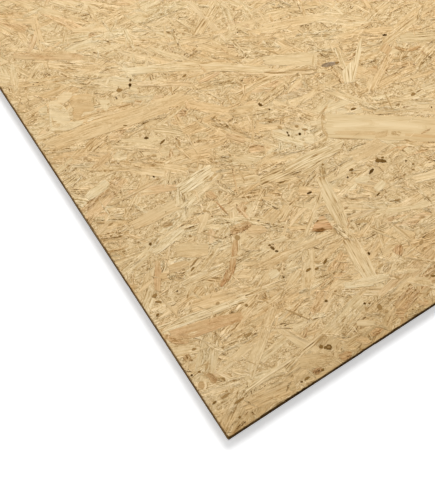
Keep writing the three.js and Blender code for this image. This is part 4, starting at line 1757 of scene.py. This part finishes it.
LAYERS = (
    Layer(-8.4, -4.6, (9, 26), (26, 80), (0.45, 0.95), True),
    Layer(-5.0, 5.0, (8, 28), (22, 60), (0.5, 1.3), False),
    Layer(4.6, 8.4, (9, 26), (26, 80), (0.45, 0.95), True),
)


@dataclass
class SawnEdges:
    """The strands that the saw cut through, along the four edges, clear of the open gaps in the solid."""

    SIDES = (Side.FRONT, Side.RIGHT, Side.BACK, Side.LEFT)
    SIDE_PAINTED_SHADE = {Side.FRONT: 0.19}  # painted shade: how much darker the strand ends of a side are painted, for the side that faces away from the key lamp

    sheet: SheetSize
    solid: Object
    seed: int
    depth: float = 0.5 * MM  # how far they reach into the board
    margin: float = 0.6 * MM
    cover: float = 1.0  # their area, as a share of the edge's
    level: Pair = (0.02, 0.26)  # depth of their faces under the edge, in millimetres
    bow: float = 0.35  # in millimetres
    spread: float = 0.012  # of their turn, in radians
    skirt: float = 0.12  # in millimetres
    figure: Pair = (0.5, 1.4)
    pale_share: float = 0.10
    pale: Pair = (0.40, 0.54)
    brown: Pair = (0.22, 0.06)  # middle and spread
    probes: tuple[float, ...] = (1.0, 0.75, 0.5, 0.25, 0.0)  # where on an outline wood is felt for
    probe_from: float = 1 * MM
    probe_reach: float = 0.1
    open: float = 0.1 * MM  # a place that lies deeper than this is in one of the open gaps

    def __post_init__(self) -> None:
        """Reads the solid and starts the edges' chance."""
        mesh = self.solid.data
        corners = [tuple(polygon.vertices) for polygon in mesh.polygons]
        self.tree = BVHTree.FromPolygons([vertex.co for vertex in mesh.vertices], corners)
        self.rng = np.random.default_rng(self.seed)

    def draw(self, plane: Plane, layer: Layer, side_painted_shade: float) -> Flakes:
        """Draws the strands of one layer on one edge.

        Args:
            plane: the edge.
            layer: the layer.
            side_painted_shade: how much darker than the others they are painted, as painted shade.

        Returns:
            The strands.
        """
        rng = self.rng
        lengthwise = layer.along_x == (abs(plane.along[0]) > 0.5)
        spread = layer.run_length if lengthwise else layer.end_length
        area = plane.size[0] * (layer.high - layer.low) * MM
        number = int(self.cover * area / (sum(spread) * sum(layer.height) / 4 * MM * MM))
        size = np.stack([rng.uniform(*reach, number) * MM for reach in (spread, layer.height)], 1)
        even = (rng.permutation(number) + rng.uniform(0, 1, number)) / number - 0.5
        place = np.stack([even * plane.size[0], rng.uniform(layer.low, layer.high, number) * MM], 1)
        pale = rng.random(number) < self.pale_share
        looks = {name: np.zeros(number) for name in LOOKS}
        tone = np.where(pale, rng.uniform(*self.pale, number), rng.normal(*self.brown, number))
        # painted shade: the strand ends of a side that faces away from the key lamp get a lower tone
        looks["tone"] = tone - side_painted_shade
        looks["figure"] = rng.uniform(*self.figure, number)
        unit = SLIVER.draw(rng, number)
        bow = rng.uniform(-self.bow, self.bow, number) * MM
        turn = rng.normal(0, self.spread, number)
        level = rng.uniform(*self.level, number) * MM
        tilt, skirt = np.zeros((number, 2)), np.full(number, self.skirt * MM)
        return Flakes(unit, size, bow, place, turn, level, tilt, skirt, looks)

    def closed(self, plane: Plane, flakes: Flakes) -> Array:
        """Finds which strands lie wholly on sawn wood, clear of the open gaps.

        Args:
            plane: the edge.
            flakes: the strands.

        Returns:
            For each strand, whether it does.
        """
        inward = Vector(-plane.outward)
        middle = flakes.place[:, None]
        from_middle = flakes.outlines()[1] - middle
        probed = np.concatenate([middle + from_middle * share for share in self.probes], 1)
        return np.array([all(self.on_wood(plane, inward, point) for point in points) for points in probed])

    def on_wood(self, plane: Plane, inward: Vector, point: Array) -> bool:
        """Returns whether no open gap lies under a point on an edge.

        Args:
            plane: the edge.
            inward: the way into the board.
            point: the place on the edge.
        """
        start = Vector(plane.placed(np.array([*point, self.probe_from])))
        spot, _, _, distance = self.tree.ray_cast(start, inward, self.probe_reach)
        return spot is None or distance <= self.probe_from + self.open

    def build(self) -> Object:
        """Makes all four edges as one piece."""
        mesh = FlakeMesh("cut_strand_ends", self.depth)
        for side in self.SIDES:
            plane = self.sheet.plane(side)
            for layer in LAYERS:
                flakes = self.draw(plane, layer, self.SIDE_PAINTED_SHADE.get(side, 0.0))
                mesh.lay(flakes.chosen(self.closed(plane, flakes)), plane, self.margin)
        return mesh.build()


# --- The studio ---

WHITE = (1.0, 1.0, 1.0, 1.0)


@dataclass(frozen=True)
class Lamp:
    """A soft round lamp that faces the visible part of the sheet."""

    name: str
    power: float
    size: float
    heading: float  # the way to it, in degrees from +X towards +Y
    height: float  # how high it stands over the floor, in degrees
    distance: float
    aim: Triple = (-0.92, -0.22, 0.0)

    def build(self) -> None:
        """Hangs the lamp."""
        data = bpy.data.lights.new(self.name, "AREA")
        data.shape = "DISK"
        data.size = self.size
        data.energy = self.power
        lamp = bpy.data.objects.new(self.name, data)
        turn, rise = math.radians(self.heading), math.radians(self.height)
        away = Vector((math.cos(turn) * math.cos(rise), math.sin(turn) * math.cos(rise), math.sin(rise)))
        lamp.location = Vector(self.aim) + away * self.distance
        lamp.rotation_euler = (-away).to_track_quat("-Z", "Y").to_euler()
        bpy.context.scene.collection.objects.link(lamp)


@dataclass(frozen=True)
class Studio:
    """A white floor, soft light from above and the camera over the sheet's near corner."""

    eye: Triple = (-1.3454, -0.7544, 1.0210)
    heading: float = -35.012
    tilt: float = 22.513
    roll: float = 2.142
    lens: float = 66.14
    clip_start: float = 0.05
    floor_size: float = 30.0
    floor_level: float = -0.2 * MM
    floor_lift: float = 0.36
    floor_bounce: float = 0.20
    white_from: Pair = (2.2, 4.2)  # where the floor fades into the white backdrop, in metres
    sky: float = 0.38
    lamps: tuple[Lamp, ...] = (
        Lamp("key", 78.0, 1.9, 48.8, 53.6, 2.68),
        Lamp("fill", 3.0, 0.8, 188.0, 14.0, 1.7),
    )

    def build(self) -> None:
        """Makes the floor, the lights and the camera."""
        self._floor()
        self._sky()
        for lamp in self.lamps:
            lamp.build()
        self._camera()

    def _floor(self) -> None:
        """Makes the floor: white to the eye, dimmer to the light that it throws back."""
        bpy.ops.object.select_all(action="DESELECT")
        bpy.ops.mesh.primitive_plane_add(size=self.floor_size, location=(0, 0, self.floor_level))
        floor = bpy.context.object
        floor.name = "floor"
        material = bpy.data.materials.new("studio_floor")
        material.use_nodes = True
        graph = Graph(material.node_tree)
        path = graph.add("LightPath")
        seen = graph.math("ADD", path.outputs["Is Camera Ray"], path.outputs["Is Glossy Ray"])
        seen = graph.math("ADD", seen, path.outputs["Is Transmission Ray"], clamp=True)
        grey = (self.floor_bounce,) * 3 + (1.0,)
        diffuse = graph.add("BsdfDiffuse", {"Color": graph.blend(seen, grey, WHITE)})
        place = graph.add("TexCoord").outputs["Object"]
        distance = graph.add("VectorMath", {0: place}, operation="LENGTH").outputs["Value"]
        lift = graph.product(seen, graph.span(distance, *self.white_from, self.floor_lift, 1.0))
        glow = graph.add("Emission", {"Color": WHITE, "Strength": lift})
        both = graph.add("AddShader", {0: diffuse.outputs[0], 1: glow.outputs[0]})
        graph.add("OutputMaterial", {"Surface": both.outputs[0]})
        floor.data.materials.append(material)
        floor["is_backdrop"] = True

    def _sky(self) -> None:
        """Lights the scene evenly from all round, in front of a white backdrop."""
        world = bpy.data.worlds.new("studio_sky")
        bpy.context.scene.world = world
        world.use_nodes = True
        graph = Graph(world.node_tree)
        path = graph.add("LightPath")
        strength = graph.span(path.outputs["Is Camera Ray"], 0.0, 1.0, self.sky, 1.0)
        light = graph.add("Background", {"Color": WHITE, "Strength": strength})
        graph.add("OutputWorld", {"Surface": light.outputs[0]})

    def _camera(self) -> None:
        """Adds the camera."""
        data = bpy.data.cameras.new("camera")
        data.lens = self.lens
        data.clip_start = self.clip_start
        camera = bpy.data.objects.new("camera", data)
        bpy.context.scene.collection.objects.link(camera)
        turn = Matrix.Rotation(math.radians(self.heading), 4, "Z")
        lean = Matrix.Rotation(math.radians(self.tilt), 4, "X")
        roll = Matrix.Rotation(math.radians(self.roll), 4, "Z")
        camera.matrix_world = Matrix.Translation(self.eye) @ turn @ lean @ roll
        bpy.context.scene.camera = camera
        bpy.context.scene.view_settings.view_transform = "Standard"


# --- The whole sheet ---

TOP_SEED, UNDERSIDE_SEED, EDGE_SEED = 11, 23, 5


def add_piece(piece: Object, finish: Material | None) -> None:
    """Dresses a piece, fixes it to the sheet's body and reports it.

    Args:
        piece: the piece.
        finish: its finish, or None where it has one already.
    """
    if finish is not None:
        piece.data.materials.append(finish)
    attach(piece, BODY)
    triangles = sum(len(polygon.vertices) - 2 for polygon in piece.data.polygons)
    log.info("%s: %d triangles", piece.name, triangles)


def main() -> None:
    """Builds the sheet's looks in order."""
    logging.basicConfig(level=logging.INFO, format="%(name)s: %(message)s")
    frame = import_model()
    solid = frame["nodes"][NODE]
    cad_low, cad_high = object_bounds()
    sheet = SheetSize(*(cad_high - cad_low))
    Studio().build()
    strand = StrandFinish(sheet=sheet).build()
    body = PressedBody(sheet, solid).build(FinesFinish().build(), SawnFinish().build())
    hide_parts(NODE)
    add_piece(body, None)
    top = Mat(sheet, Side.TOP, TOP_SEED)
    for cut in TOP_CUTS:
        for piece in top.lay_cut(cut):
            add_piece(piece, strand)
    bark = BarkFinish().build()
    add_piece(top.lay("specks_and_cracks", [top.draw(CRACKS), top.draw(BARK)]), bark)
    add_piece(top.lay("marked_flakes", [top.marked(mark) for mark in MARKED_FLAKES]), strand)
    add_piece(top.lay("marked_specks", [top.marked(mark) for mark in MARKED_SPECKS]), bark)
    add_piece(SawnEdges(sheet, solid, EDGE_SEED).build(), CutEndFinish().build())
    underside = Mat(sheet, Side.UNDERSIDE, UNDERSIDE_SEED)
    for cut in UNDERSIDE_CUTS:
        for piece in underside.lay_cut(cut):
            add_piece(piece, strand)


if __name__ == "__main__":
    main()
